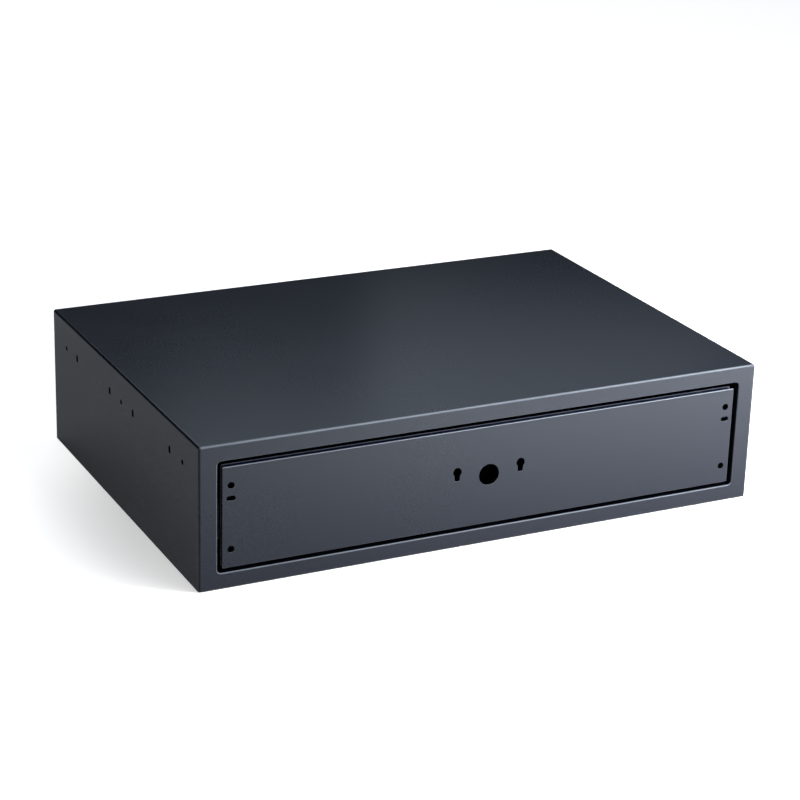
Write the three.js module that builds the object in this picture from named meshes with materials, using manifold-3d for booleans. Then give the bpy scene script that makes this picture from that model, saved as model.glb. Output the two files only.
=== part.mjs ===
// Under desk drawer safe: a low steel casing with a full-width drawer on telescopic ball slides, and
// the boltwork behind the drawer front that a lock on the middle hole turns. Millimetres, +X to the
// right along the front, -Y out of the front, +Z up, origin under the middle of the base.

import * as THREE from 'three';
import { mergeVertices } from 'three/addons/utils/BufferGeometryUtils.js';
import Module from 'manifold-3d';

const wasm = await Module();
wasm.setup();

// Casing
const casingWidth = 575;
const casingDepth = 400;
const casingHeight = 139;
const casingSheet = 2;
const casingBendRadius = 2.5;
const rearSheet = 1.5;
const rearFlange = 12;
const baseSheet = 1.5;
const baseFlange = 14;
const fitGap = 0.15;

// Front frame
const frameSideFace = 17.3;
const frameTopFace = 16.1;
const frameBottomFace = 16;
const frameEdgeRadius = 2;
const openingCornerRadius = 4;
const lipDepth = 12;

// Row of holes in each side, on one pitch
const sideHoleFromFront = 40;
const sideHoleFromTop = 28.4;
const sideHolePitch = 32;
const sideHoleDiameter = 4.2;
const sideSlotHeight = 7;
const sideRoundSteps = [0, 5, 10];
const sideSlotSteps = [1, 4, 6, 9];

// Drawer front, two sheets with spacer bars between them
const frontRecess = 1;
const frontSideGap = 4.9;
const frontTopGap = 6.2;
const frontBottomGap = 3.6;
const frontSheet = 2;
const frontEdgeRadius = 0.8;
const frontCornerRadius = 1.2;
const sheetSpacing = 4;
const innerFrontSheet = 2;
const innerFrontStepBack = 0.5;
const innerFrontRise = 0.4;
const innerHoleRoom = 2.3;
const barHeight = 8;
const barRecess = 1.2;
const barWidth = 10;
const endBarHeight = 34;
const endBarInset = 17;
const topBarsFromRight = [[349.3, 243.3], [222.3, 103.3], [86.3, 33.3]];
const bottomBarInset = 25.3;

// Holes of the drawer front
const lockCentreHeight = 68.7;
const lockHoleDiameter = 20.6;
const keyholeSpacing = 66;
const keyholeRise = 7.2;
const keyholeHeadDiameter = 8.4;
const keyholeStemWidth = 5.4;
const keyholeStemCorner = 1.5;
const keyholeFoot = 1.8;
const cornerHoleInset = 8.4;
const cornerHoleFromEdge = 17.9;
const cornerHoleDiameter = 6.3;
const cornerSlotDrop = 12.4;
const cornerSlotLength = 8.4;
const cornerSlotHeight = 4.3;

// Telescopic slides
const slideThickness = 12.7;
const slideHeight = 35;
const slideRearSpace = 40;
const slideCentreHeight = 62;
const slideFrontGap = 1;
const slideSheet = 1.2;
const middleSheet = 1;
const cageSheet = 0.5;
const cageLength = 120;
const ballRadius = 1.3;
const ballGap = 0.2;
const ballPitch = 20;
const ballsInRow = 6;
const cabinetFlange = 10.5;
const cabinetLip = 1.2;
const outerBallOffset = 6.8;
const innerBallOffset = 8.6;
const cageMargin = 1.6;
const runningGap = 0.3;

// Folded channels that carry the slides clear of the frame
const spacerDepth = 20;
const spacerSheet = 1.5;
const spacerFlange = 12;
const spacerMargin = 1.5;
const spacerSetBack = 4;
const spacerEndGap = 1;

// Pan head screws of the slides and the lock cover
const screwHeadDiameter = 7;
const screwHeadHeight = 1.6;
const screwShankDiameter = 3.8;
const screwHoleDiameter = 4.4;
const screwTip = 3;
const cabinetScrewFromEnds = [35, 40];
const drawerScrewFromEnds = [30, 30];

// Tray
const traySheet = 1.2;
const trayRiseAboveOpening = 6;
const trayHeight = 81;
const trayHem = 6;
const hemGap = 0.3;

// Boltwork
const boltDiameter = 10;
const boltFromMiddle = 90;
const boltThrow = 15;
const boltTopGap = 8.4;
const boltChamfer = 1;
const boltBehindWall = 9;
const boltOverlap = 3;
const guideSheet = 2;
const guideHalfWidth = 12;
const guideReach = 8;
const guideClearance = 0.3;
const guideRoom = 2;
const guideDrop = 8;
const boltBarHeight = 12;
const boltBarSheet = 3;
const boltBarOverhang = 8;
const boltBarCornerRadius = 3;
const lockPlateSheet = 2.5;
const lockPlateStandOff = 5.4;
const lockPlateHeight = 48;
const lockPlateFlange = 11;
const lockPlateMargin = 8;
const camThickness = 4;
const camInnerRadius = 10;
const camRim = 3.6;
const camGap = 0.4;
const camSlotClearance = 0.4;
const followerDiameter = 5;
const followerHeadDiameter = 8;
const followerHeadHeight = 1.5;
const hubDiameter = 13;
const hubSocket = 7;
const hubReach = 2.9;
const hubGroove = 0.6;
const hubClearance = 0.3;
const circlipThickness = 0.8;
const circlipWidth = 3.2;
const circlipGap = 0.2;
const coverSheet = 1.2;
const coverDepth = 22;
const coverFlange = 13;
const coverRoom = 6;
const coverBelowFront = 8.2;
const coverAboveTray = 2;
const coverScrewHeights = [18, 62];
const coverScrewTipGap = 1.2;
const strikeThickness = 3;
const strikeOverhang = 22;

// Places worked out from the sizes above
const frontY = -casingDepth / 2;
const rearY = casingDepth / 2;
const sideInnerX = casingWidth / 2 - casingSheet;
const topInnerZ = casingHeight - casingSheet;
const openingHalfWidth = casingWidth / 2 - frameSideFace;
const openingTopZ = casingHeight - frameTopFace;
const openingBottomZ = frameBottomFace;
const lipRearY = frontY + lipDepth;

const plateFrontY = frontY + frontRecess;
const plateRearY = plateFrontY + frontSheet;
const innerFrontY = plateRearY + sheetSpacing;
const wallY = innerFrontY + innerFrontSheet;
const plateHalfWidth = openingHalfWidth - frontSideGap;
const plateTopZ = openingTopZ - frontTopGap;
const plateBottomZ = openingBottomZ + frontBottomGap;

const slideBackX = sideInnerX - spacerDepth;
const slideFrontY = wallY + slideFrontGap;
const slideRearY = rearY - slideRearSpace;
const slideMiddleY = (slideFrontY + slideRearY) / 2;
const trayHalfWidth = slideBackX - slideThickness;
const trayBottomZ = openingBottomZ + trayRiseAboveOpening;
const trayTopZ = trayBottomZ + trayHeight;

const boltY = wallY + boltBehindWall;
const boltTopZ = openingTopZ - boltTopGap;
const lockPlateFrontY = wallY + lockPlateStandOff;
const camFrontY = lockPlateFrontY + lockPlateSheet + camGap;
const camRearY = camFrontY + camThickness;
const boltBarFrontY = camRearY + camGap;
const boltBarRearY = boltBarFrontY + boltBarSheet;
const boltBarZ = lockCentreHeight + camInnerRadius;
const guideLowerZ = boltBarZ - boltBarHeight / 2 - guideDrop;
const guideUpperZ = boltBarZ + boltBarHeight / 2 + boltThrow + guideRoom;
const boltBottomZ = guideLowerZ - guideSheet - boltThrow - boltOverlap;
const coverHalfWidth = boltFromMiddle + guideHalfWidth + coverRoom;
const coverTopZ = plateTopZ - innerFrontStepBack - coverBelowFront;
const coverBottomZ = trayBottomZ + traySheet + coverAboveTray;

// Finishes
const paint = { color: 0x3a3f4a, roughness: 0.42, metalness: 0.25 };
const zinc = { color: 0xb9bec4, roughness: 0.35, metalness: 0.9 };
const steel = { color: 0x8d9196, roughness: 0.4, metalness: 0.9 };
const blackSteel = { color: 0x1b1c1e, roughness: 0.5, metalness: 0.7 };

// Closed solid from a three.js geometry, with shared vertices merged and flat slivers dropped
function solid(geometry) {
  const bare = geometry.clone();
  bare.deleteAttribute('normal');
  bare.deleteAttribute('uv');
  const merged = mergeVertices(bare, 1e-4);
  const index = merged.index.array;
  const triangles = [];
  for (let i = 0; i < index.length; i += 3) {
    const [a, b, c] = [index[i], index[i + 1], index[i + 2]];
    if (a !== b && b !== c && a !== c) triangles.push(a, b, c);
  }
  const vertProperties = Float32Array.from(merged.attributes.position.array);
  const triVerts = Uint32Array.from(triangles);
  return new wasm.Manifold(new wasm.Mesh({ numProp: 3, vertProperties, triVerts }));
}

// Outlines
function vectors(points) {
  return points.map(([a, b]) => new THREE.Vector2(a, b));
}

function arc(centreA, centreB, radius, from, to, steps) {
  const points = [];
  for (let i = 0; i <= steps; i += 1) {
    const angle = from + (to - from) * i / steps;
    points.push([centreA + radius * Math.cos(angle), centreB + radius * Math.sin(angle)]);
  }
  return points;
}

function circle(centreA, centreB, radius, steps) {
  return arc(centreA, centreB, radius, 0, 2 * Math.PI, steps).slice(0, -1);
}

function box(minA, maxA, minB, maxB) {
  return [[minA, minB], [maxA, minB], [maxA, maxB], [minA, maxB]];
}

function roundedBox(minA, maxA, minB, maxB, radius, steps) {
  const r = Math.max(radius, 0.05);
  const quarter = Math.PI / 2;
  return [
    ...arc(maxA - r, minB + r, r, -quarter, 0, steps),
    ...arc(maxA - r, maxB - r, r, 0, quarter, steps),
    ...arc(minA + r, maxB - r, r, quarter, 2 * quarter, steps),
    ...arc(minA + r, minB + r, r, 2 * quarter, 3 * quarter, steps),
  ];
}

// Slot with round ends, length measured over the ends, lying along the first axis
function levelSlot(centreA, centreB, length, width) {
  const reach = length / 2 - width / 2;
  const quarter = Math.PI / 2;
  return [
    ...arc(centreA + reach, centreB, width / 2, -quarter, quarter, 6),
    ...arc(centreA - reach, centreB, width / 2, quarter, 3 * quarter, 6),
  ];
}

function uprightSlot(centreA, centreB, length, width) {
  return levelSlot(centreB, centreA, length, width).map(([b, a]) => [a, b]).reverse();
}

// Arch open at the bottom, from its left foot over both rounded corners to its right foot
function arch(halfWidth, bottom, top, radius) {
  const r = Math.max(radius, 0);
  const steps = r > 0 ? 4 : 0;
  const quarter = Math.PI / 2;
  const points = [
    [-halfWidth, bottom],
    ...arc(-halfWidth + r, top - r, r, 2 * quarter, quarter, Math.max(steps, 1)),
    ...arc(halfWidth - r, top - r, r, quarter, 0, Math.max(steps, 1)),
    [halfWidth, bottom],
  ];
  const differs = (p, q) => Math.hypot(p[0] - q[0], p[1] - q[1]) > 1e-6;
  return points.filter((point, i) => i === 0 || differs(point, points[i - 1]));
}

// Outline that is the same above and below its middle line
function mirrored(upper) {
  const lower = upper.map(([a, b]) => [a, -b]).reverse();
  return [...upper, ...lower];
}

// Prisms along each axis
function prism(points, length) {
  const shape = new THREE.Shape(vectors(points));
  return new THREE.ExtrudeGeometry(shape, { depth: length, bevelEnabled: false, steps: 1 });
}

// Outline in X and Z, running along Y
function prismY(points, fromY, toY) {
  const geometry = prism(points, toY - fromY);
  geometry.rotateX(Math.PI / 2);
  geometry.translate(0, toY, 0);
  return solid(geometry);
}

// Outline in Y and Z, running along X
function prismX(points, fromX, toX) {
  const geometry = prism(points, toX - fromX);
  const basis = new THREE.Matrix4().makeBasis(
    new THREE.Vector3(0, 1, 0),
    new THREE.Vector3(0, 0, 1),
    new THREE.Vector3(1, 0, 0),
  );
  geometry.applyMatrix4(basis);
  geometry.translate(fromX, 0, 0);
  return solid(geometry);
}

// Outline in X and Y, running along Z
function prismZ(points, fromZ, toZ) {
  const geometry = prism(points, toZ - fromZ);
  geometry.translate(0, 0, fromZ);
  return solid(geometry);
}

// Solid through a row of like rings, each a list of points in X and Z at one Y
function loft(rings) {
  const count = rings[0].points.length;
  const positions = rings.flatMap(({ y, points }) => points.flatMap(([x, z]) => [x, y, z]));
  const index = [];
  for (let ring = 0; ring + 1 < rings.length; ring += 1) {
    for (let i = 0; i < count; i += 1) {
      const a = ring * count + i;
      const b = ring * count + (i + 1) % count;
      index.push(a, b + count, b, a, a + count, b + count);
    }
  }
  const last = (rings.length - 1) * count;
  for (let i = 1; i + 1 < count; i += 1) {
    index.push(0, i, i + 1);
    index.push(last, last + i + 1, last + i);
  }
  const geometry = new THREE.BufferGeometry();
  geometry.setAttribute('position', new THREE.Float32BufferAttribute(positions, 3));
  geometry.setIndex(index);
  return solid(geometry);
}

// Turned piece: radius and height pairs from the axis round and back to the axis, along Y
function turned(profile, steps) {
  return new THREE.LatheGeometry(vectors(profile), steps);
}

// Union of several solids
function joined(...solids) {
  return solids.reduce((whole, next) => whole.add(next));
}

// What is left of a solid when several others are cut from it
function cut(whole, ...cutters) {
  return cutters.reduce((rest, cutter) => rest.subtract(cutter), whole);
}

// Model
const model = new THREE.Group();
model.name = 'under_desk_drawer_safe';

function addPiece(name, shape, finish) {
  const { vertProperties, triVerts } = shape.getMesh();
  const geometry = new THREE.BufferGeometry();
  geometry.setAttribute('position', new THREE.BufferAttribute(Float32Array.from(vertProperties), 3));
  geometry.setIndex(new THREE.BufferAttribute(Uint32Array.from(triVerts), 1));
  geometry.computeVertexNormals();
  const piece = new THREE.Mesh(geometry, new THREE.MeshStandardMaterial(finish));
  piece.name = name;
  model.add(piece);
}

// Top and both sides in one folded sheet, with the row of holes through each side
function casingWrap() {
  const outer = arch(casingWidth / 2, 0, casingHeight, casingBendRadius);
  const inner = arch(sideInnerX, 0, topInnerZ, casingBendRadius - casingSheet);
  const sheet = prismY([...outer, ...inner.reverse()], frontY + casingSheet, rearY);
  const rowZ = casingHeight - sideHoleFromTop;
  const through = casingWidth / 2 + 1;
  const holeY = (step) => frontY + sideHoleFromFront + step * sideHolePitch;
  const rounds = sideRoundSteps.map((step) => circle(holeY(step), rowZ, sideHoleDiameter / 2, 12));
  const slots = sideSlotSteps.map(
    (step) => uprightSlot(holeY(step), rowZ, sideSlotHeight, sideHoleDiameter),
  );
  const holes = [...rounds, ...slots].map((outline) => prismX(outline, -through, through));
  return cut(sheet, ...holes);
}

// Ring round the opening, grown outwards by a distance
function openingRing(grow) {
  return roundedBox(
    -openingHalfWidth - grow,
    openingHalfWidth + grow,
    openingBottomZ - grow,
    openingTopZ + grow,
    openingCornerRadius + grow,
    5,
  );
}

// Whole face round the opening, rounded at its outer edge, with the lip folded inwards
function frameRing() {
  const edge = Math.min(frameEdgeRadius, casingSheet);
  const edgeSteps = 3;
  const outerRing = (inset) => roundedBox(
    -casingWidth / 2 + inset,
    casingWidth / 2 - inset,
    inset,
    casingHeight - inset,
    casingBendRadius - inset,
    4,
  );
  const plateRings = [];
  const mouthRings = [{ y: frontY - 1, points: openingRing(edge) }];
  for (let i = 0; i <= edgeSteps; i += 1) {
    const angle = Math.PI / 2 * i / edgeSteps;
    const y = frontY + edge * (1 - Math.cos(angle));
    plateRings.push({ y, points: outerRing(edge * (1 - Math.sin(angle))) });
    mouthRings.push({ y, points: openingRing(edge * (1 - Math.sin(angle))) });
  }
  if (edge < casingSheet) plateRings.push({ y: frontY + casingSheet, points: outerRing(0) });
  mouthRings.push({ y: lipRearY + 1, points: openingRing(0) });
  const lip = prismY(openingRing(casingSheet), frontY + edge, lipRearY);
  return cut(joined(loft(plateRings), lip), loft(mouthRings));
}

// Two points of one corner's mitre, within the opening and beyond the casing
function mitre(side, cornerZ, openingZ) {
  const [outerX, innerX] = [side * casingWidth / 2, side * openingHalfWidth];
  const along = (share) => [innerX + share * (innerX - outerX), openingZ + share * (openingZ - cornerZ)];
  return [along(0.5), along(-1.5)];
}

// One folded side of the frame, between the mitres at its two ends
function frameSide(ring, [firstIn, firstOut], [lastIn, lastOut]) {
  const outline = [firstIn, firstOut, lastOut, lastIn];
  return ring.intersect(prismY(outline, frontY - 1, lipRearY + 1));
}

// Base sheet with its sides turned up inside the casing
function basePan() {
  const half = sideInnerX - fitGap;
  const outline = [
    [-half, baseFlange],
    [-half, 0],
    [half, 0],
    [half, baseFlange],
    [half - baseSheet, baseFlange],
    [half - baseSheet, baseSheet],
    [-half + baseSheet, baseSheet],
    [-half + baseSheet, baseFlange],
  ];
  return prismY(outline, frontY + casingSheet, rearY - rearSheet);
}

// Back sheet with flanges that run forwards under the top and along the sides
function rearPanel() {
  const half = sideInnerX - fitGap;
  const top = topInnerZ - fitGap;
  const radius = casingBendRadius - casingSheet - fitGap;
  const plate = prismY(arch(half, 0, top, radius), rearY - rearSheet, rearY);
  const flangeFoot = baseFlange + fitGap;
  const outer = arch(half, flangeFoot, top, radius);
  const inner = arch(half - rearSheet, flangeFoot, top - rearSheet, radius - rearSheet);
  const flanges = prismY([...outer, ...inner.reverse()], rearY - rearFlange, rearY - rearSheet);
  return joined(plate, flanges);
}

// Bar between the lip and the top that the raised bolts bear against
function strikeBar() {
  const half = boltFromMiddle + strikeOverhang;
  const outline = box(-half, half, openingTopZ + casingSheet + fitGap, topInnerZ - fitGap);
  return prismY(outline, lipRearY - strikeThickness, lipRearY);
}

// Places on a slide: distance in from its back, and height from its middle
function slideOutline(side, points) {
  return points.map(([inwards, height]) => [side * (slideBackX - inwards), slideCentreHeight + height]);
}

// Screw lying along X through sheets of a given thickness, pointing left (-1) or right (1)
function slideScrew(pointing, seatX, y, grip) {
  const head = screwHeadDiameter / 2;
  const shank = screwShankDiameter / 2;
  const profile = [
    [0, -screwHeadHeight],
    [head * 0.7, -screwHeadHeight],
    [head, -screwHeadHeight * 0.6],
    [head, 0],
    [shank, 0],
    [shank, grip + screwTip - 1],
    [shank * 0.6, grip + screwTip],
    [0, grip + screwTip],
  ];
  const geometry = turned(profile, 12);
  geometry.rotateZ(-pointing * Math.PI / 2);
  geometry.translate(seatX, y, slideCentreHeight);
  return solid(geometry);
}

// Places of a member's two screws, from their distances in from the slide's ends
function slideScrewPlaces([fromFront, fromRear]) {
  return [slideFrontY + fromFront, slideRearY - fromRear];
}

// Screw holes through everything between the drawer's inside and the spacer's hollow
function slideScrewHoles(side, fromEnds) {
  const ends = [side * (trayHalfWidth - traySheet - 1), side * (slideBackX + spacerSheet + 1)];
  const [fromX, toX] = ends.sort((a, b) => a - b);
  return slideScrewPlaces(fromEnds).map((y) => {
    const outline = circle(y, slideCentreHeight, screwHoleDiameter / 2, 12);
    return prismX(outline, fromX, toX);
  });
}

// Hat-shaped channel on the casing side
function slideSpacer(side) {
  const foot = spacerDepth;
  const webHalf = slideHeight / 2 + spacerMargin;
  const innerHalf = webHalf - spacerSheet;
  const outline = mirrored([
    [-foot + fitGap, innerHalf],
    [-foot + fitGap, webHalf + spacerFlange],
    [-foot + fitGap + spacerSheet, webHalf + spacerFlange],
    [-foot + fitGap + spacerSheet, webHalf],
    [0, webHalf],
  ]);
  const hollow = [[-spacerSheet, -innerHalf], [-spacerSheet, innerHalf]];
  const [start, end] = [slideFrontY + spacerSetBack, slideRearY - spacerEndGap];
  const channel = prismY(slideOutline(side, [...outline, ...hollow]), start, end);
  return cut(channel, ...slideScrewHoles(side, cabinetScrewFromEnds));
}

// Half heights of the nested slide members, from the outside in
const cabinetHalf = slideHeight / 2;
const middleHalf = cabinetHalf - slideSheet - 2 * (ballRadius + ballGap);
const drawerHalf = middleHalf - middleSheet - 2 * (ballRadius + ballGap);
const outerBallHeight = middleHalf + ballRadius + ballGap;
const innerBallHeight = drawerHalf + ballRadius + ballGap;

// Distances in from the slide's back of the webs between its members
const outerCageAt = slideSheet + screwHeadHeight + runningGap;
const middleAt = outerCageAt + cageSheet + runningGap;
const innerCageAt = middleAt + middleSheet + runningGap;
const drawerFlangeAt = innerCageAt + cageSheet + runningGap;

function cabinetMember(side) {
  const inside = cabinetHalf - slideSheet;
  const outline = mirrored([
    [0, cabinetHalf],
    [cabinetFlange, cabinetHalf],
    [cabinetFlange, inside - cabinetLip],
    [cabinetFlange - 1, inside - cabinetLip],
    [cabinetFlange - 1, inside],
    [slideSheet, inside],
  ]);
  const channel = prismY(slideOutline(side, outline), slideFrontY, slideRearY);
  return cut(channel, ...slideScrewHoles(side, cabinetScrewFromEnds));
}

function middleMember(side) {
  const flangeEnd = slideThickness - slideSheet - runningGap;
  const outline = mirrored([
    [middleAt, middleHalf],
    [flangeEnd, middleHalf],
    [flangeEnd, middleHalf - middleSheet],
    [middleAt + middleSheet, middleHalf - middleSheet],
  ]);
  return prismY(slideOutline(side, outline), slideFrontY, slideRearY);
}

function drawerMember(side) {
  const inside = drawerHalf - slideSheet;
  const outline = mirrored([
    [slideThickness - slideSheet, inside],
    [drawerFlangeAt, inside],
    [drawerFlangeAt, drawerHalf],
    [slideThickness, drawerHalf],
  ]);
  const channel = prismY(slideOutline(side, outline), slideFrontY, slideRearY);
  return cut(channel, ...slideScrewHoles(side, drawerScrewFromEnds));
}

// Thin channel with a row of balls set in its top and its bottom
function ballCage(side, webAt, ballAt, ballHeight) {
  const stripEnd = ballAt + ballRadius + cageMargin / 2;
  const outline = mirrored([
    [webAt, ballHeight + cageSheet / 2],
    [stripEnd, ballHeight + cageSheet / 2],
    [stripEnd, ballHeight - cageSheet / 2],
    [webAt + cageSheet, ballHeight - cageSheet / 2],
  ]);
  const [start, end] = [slideMiddleY - cageLength / 2, slideMiddleY + cageLength / 2];
  const parts = [prismY(slideOutline(side, outline), start, end)];
  for (let i = 0; i < ballsInRow; i += 1) {
    for (const height of [ballHeight, -ballHeight]) {
      const ball = new THREE.SphereGeometry(ballRadius, 6, 4);
      const y = slideMiddleY + (i - (ballsInRow - 1) / 2) * ballPitch;
      ball.translate(side * (slideBackX - ballAt), y, slideCentreHeight + height);
      parts.push(solid(ball));
    }
  }
  return joined(...parts);
}

// Keyhole: a round head over a narrower stem with a square foot, eased at its corners
function keyhole(centreX, room) {
  const head = keyholeHeadDiameter / 2 + room;
  const stem = keyholeStemWidth / 2 + room;
  const corner = keyholeStemCorner + room;
  const headZ = lockCentreHeight + keyholeRise;
  const cornerZ = lockCentreHeight - keyholeFoot - room + corner;
  const spread = Math.asin(Math.min(stem / head, 1));
  const quarter = Math.PI / 2;
  return [
    ...arc(centreX, headZ, head, -quarter + spread, 3 * quarter - spread, 14),
    ...arc(centreX - stem + corner, cornerZ, corner, 2 * quarter, 3 * quarter, 3),
    ...arc(centreX + stem - corner, cornerZ, corner, 3 * quarter, 4 * quarter, 3),
  ];
}

// The nine holes of the drawer front, widened all round by room
function frontHoles(fromY, toY, room = 0) {
  const cornerX = plateHalfWidth - cornerHoleInset;
  const topZ = plateTopZ - cornerHoleFromEdge;
  const bottomZ = plateBottomZ + cornerHoleFromEdge;
  const outlines = [
    circle(0, lockCentreHeight, lockHoleDiameter / 2 + room, 32),
    keyhole(-keyholeSpacing / 2, room),
    keyhole(keyholeSpacing / 2, room),
  ];
  const slotLength = cornerSlotLength + 2 * room;
  const slotHeight = cornerSlotHeight + 2 * room;
  for (const x of [-cornerX, cornerX]) {
    outlines.push(circle(x, topZ, cornerHoleDiameter / 2 + room, 14));
    outlines.push(levelSlot(x, topZ - cornerSlotDrop, slotLength, slotHeight));
    outlines.push(circle(x, bottomZ, cornerHoleDiameter / 2 + room, 14));
  }
  return outlines.map((outline) => prismY(outline, fromY, toY));
}

function frontRing(inset, radius) {
  return roundedBox(
    -plateHalfWidth + inset,
    plateHalfWidth - inset,
    plateBottomZ + inset,
    plateTopZ - inset,
    radius - inset,
    3,
  );
}

function drawerFrontPlate() {
  const edge = Math.min(frontEdgeRadius, frontSheet / 2);
  const steps = 2;
  const rings = [];
  for (let i = 0; i <= steps; i += 1) {
    const angle = Math.PI / 2 * i / steps;
    const y = plateFrontY + edge * (1 - Math.cos(angle));
    rings.push({ y, points: frontRing(edge * (1 - Math.sin(angle)), frontCornerRadius) });
  }
  rings.push({ y: plateRearY, points: frontRing(0, frontCornerRadius) });
  return cut(loft(rings), ...frontHoles(plateFrontY - 1, plateRearY + 1));
}

function coverScrewPlaces() {
  const x = coverHalfWidth + coverSheet + coverFlange / 2;
  return [-x, x].flatMap((place) => coverScrewHeights.map((rise) => [place, coverBottomZ + rise]));
}

function coverScrewHoles(fromY, toY) {
  return coverScrewPlaces().map(([x, z]) => prismY(circle(x, z, screwHoleDiameter / 2, 10), fromY, toY));
}

// Second sheet: a little narrower than the front one, and a little taller
function drawerInnerFront() {
  const half = plateHalfWidth - innerFrontStepBack;
  const lowZ = plateBottomZ + innerFrontStepBack;
  const highZ = plateTopZ + innerFrontRise;
  const outline = roundedBox(-half, half, lowZ, highZ, frontCornerRadius - innerFrontStepBack, 3);
  const sheet = prismY(outline, innerFrontY, wallY);
  const holes = frontHoles(innerFrontY - 1, wallY + 1, innerHoleRoom);
  return cut(sheet, ...holes, ...coverScrewHoles(innerFrontY - 1, wallY + 1));
}

// Bars between the two sheets of the drawer front
function frontBar(minX, maxX, minZ, maxZ) {
  return prismY(box(minX, maxX, minZ, maxZ), plateRearY, innerFrontY);
}

// Floor and sides in one folded sheet, with the top edges turned inwards
function drawerTray() {
  const half = trayHalfWidth;
  const inside = half - traySheet;
  const floorZ = trayBottomZ + traySheet;
  const right = [
    [half, trayBottomZ],
    [half, trayTopZ],
    [half - trayHem, trayTopZ],
    [half - trayHem, trayTopZ - traySheet],
    [inside, trayTopZ - traySheet],
    [inside, floorZ],
  ];
  const left = right.map(([x, z]) => [-x, z]).reverse();
  const sheet = prismY([...right, ...left], wallY, slideRearY);
  const holes = [-1, 1].flatMap((side) => slideScrewHoles(side, drawerScrewFromEnds));
  return cut(sheet, ...holes);
}

function drawerBack() {
  const half = trayHalfWidth - traySheet - fitGap;
  const foot = trayBottomZ + traySheet + fitGap;
  const top = trayTopZ - traySheet - hemGap;
  return prismY(box(-half, half, foot, top), slideRearY - traySheet, slideRearY);
}

// Bracket on the inner front whose two arms guide one bolt
function boltGuide(x) {
  const rear = boltY + guideReach;
  const outline = [
    [wallY, guideLowerZ - guideSheet],
    [rear, guideLowerZ - guideSheet],
    [rear, guideLowerZ],
    [wallY + guideSheet, guideLowerZ],
    [wallY + guideSheet, guideUpperZ],
    [rear, guideUpperZ],
    [rear, guideUpperZ + guideSheet],
    [wallY, guideUpperZ + guideSheet],
  ];
  const bracket = prismX(outline, x - guideHalfWidth, x + guideHalfWidth);
  const bore = circle(x, boltY, boltDiameter / 2 + guideClearance, 20);
  return cut(bracket, prismZ(bore, guideLowerZ - guideSheet - 1, guideUpperZ + guideSheet + 1));
}

// Round bolt with chamfered ends and a flat notch for the bolt bar
function bolt(x) {
  const radius = boltDiameter / 2;
  const profile = [
    [0, boltBottomZ],
    [radius - boltChamfer, boltBottomZ],
    [radius, boltBottomZ + boltChamfer],
    [radius, boltTopZ - boltChamfer],
    [radius - boltChamfer, boltTopZ],
    [0, boltTopZ],
  ];
  const geometry = turned(profile, 20);
  geometry.rotateX(Math.PI / 2);
  geometry.translate(x, boltY, 0);
  const [low, high] = [boltBarZ - boltBarHeight / 2, boltBarZ + boltBarHeight / 2];
  const notch = prismZ(
    box(x - boltDiameter, x + boltDiameter, boltBarFrontY, boltBarRearY + radius),
    low - fitGap,
    high + fitGap,
  );
  return cut(solid(geometry), notch);
}

function boltBar() {
  const half = boltFromMiddle + boltBarOverhang;
  const [low, high] = [boltBarZ - boltBarHeight / 2, boltBarZ + boltBarHeight / 2];
  const bar = prismY(roundedBox(-half, half, low, high, boltBarCornerRadius, 3), boltBarFrontY, boltBarRearY);
  const hole = circle(0, boltBarZ, followerDiameter / 2 + fitGap, 14);
  return cut(bar, prismY(hole, boltBarFrontY - 1, boltBarRearY + 1));
}

// Headed pin riveted in the bar, reaching forwards into the cam's slot
function followerPin() {
  const radius = followerDiameter / 2;
  const profile = [
    [0, camFrontY + camGap],
    [radius, camFrontY + camGap],
    [radius, boltBarRearY],
    [followerHeadDiameter / 2, boltBarRearY],
    [followerHeadDiameter / 2, boltBarRearY + followerHeadHeight],
    [0, boltBarRearY + followerHeadHeight],
  ];
  const geometry = turned(profile, 14);
  geometry.translate(0, 0, boltBarZ);
  return solid(geometry);
}

// Plate on two folded legs that carries the cam behind the lock's hole
function lockPlate() {
  const half = keyholeSpacing / 2 + keyholeHeadDiameter / 2 + lockPlateMargin;
  const rear = lockPlateFrontY + lockPlateSheet;
  const inside = half - lockPlateSheet;
  const right = [
    [inside, lockPlateFrontY],
    [inside, wallY],
    [half + lockPlateFlange, wallY],
    [half + lockPlateFlange, wallY + lockPlateSheet],
    [half, wallY + lockPlateSheet],
    [half, rear],
  ];
  const left = right.map(([x, y]) => [-x, y]).reverse();
  const low = lockCentreHeight - lockPlateHeight / 2;
  const plate = prismZ([...right, ...left], low, low + lockPlateHeight);
  const bore = circle(0, lockCentreHeight, hubDiameter / 2 + hubClearance, 24);
  return cut(plate, prismY(bore, lockPlateFrontY - 1, rear + 1));
}

// Slot whose middle line moves outwards evenly over the quarter turn
function spiralSlot() {
  const half = followerDiameter / 2 + camSlotClearance;
  const steps = 12;
  const quarter = Math.PI / 2;
  const growth = boltThrow / quarter;
  const radiusAt = (angle) => camInnerRadius + growth * (angle - quarter);
  const outwards = (angle) => angle - Math.atan(growth / radiusAt(angle));
  const angles = Array.from({ length: steps + 1 }, (_, i) => quarter + quarter * i / steps);
  const middle = (angle) => [radiusAt(angle) * Math.cos(angle), radiusAt(angle) * Math.sin(angle)];
  const edge = (shift) => angles.map((angle) => {
    const [x, z] = middle(angle);
    return [x + shift * Math.cos(outwards(angle)), z + shift * Math.sin(outwards(angle))];
  });
  const cap = (angle, from) => arc(...middle(angle), half, from, from + Math.PI, 6).slice(1, -1);
  const outline = [
    ...edge(half),
    ...cap(2 * quarter, outwards(2 * quarter)),
    ...edge(-half).reverse(),
    ...cap(quarter, outwards(quarter) + Math.PI),
  ];
  return outline.map(([x, z]) => [x, lockCentreHeight + z]);
}

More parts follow.
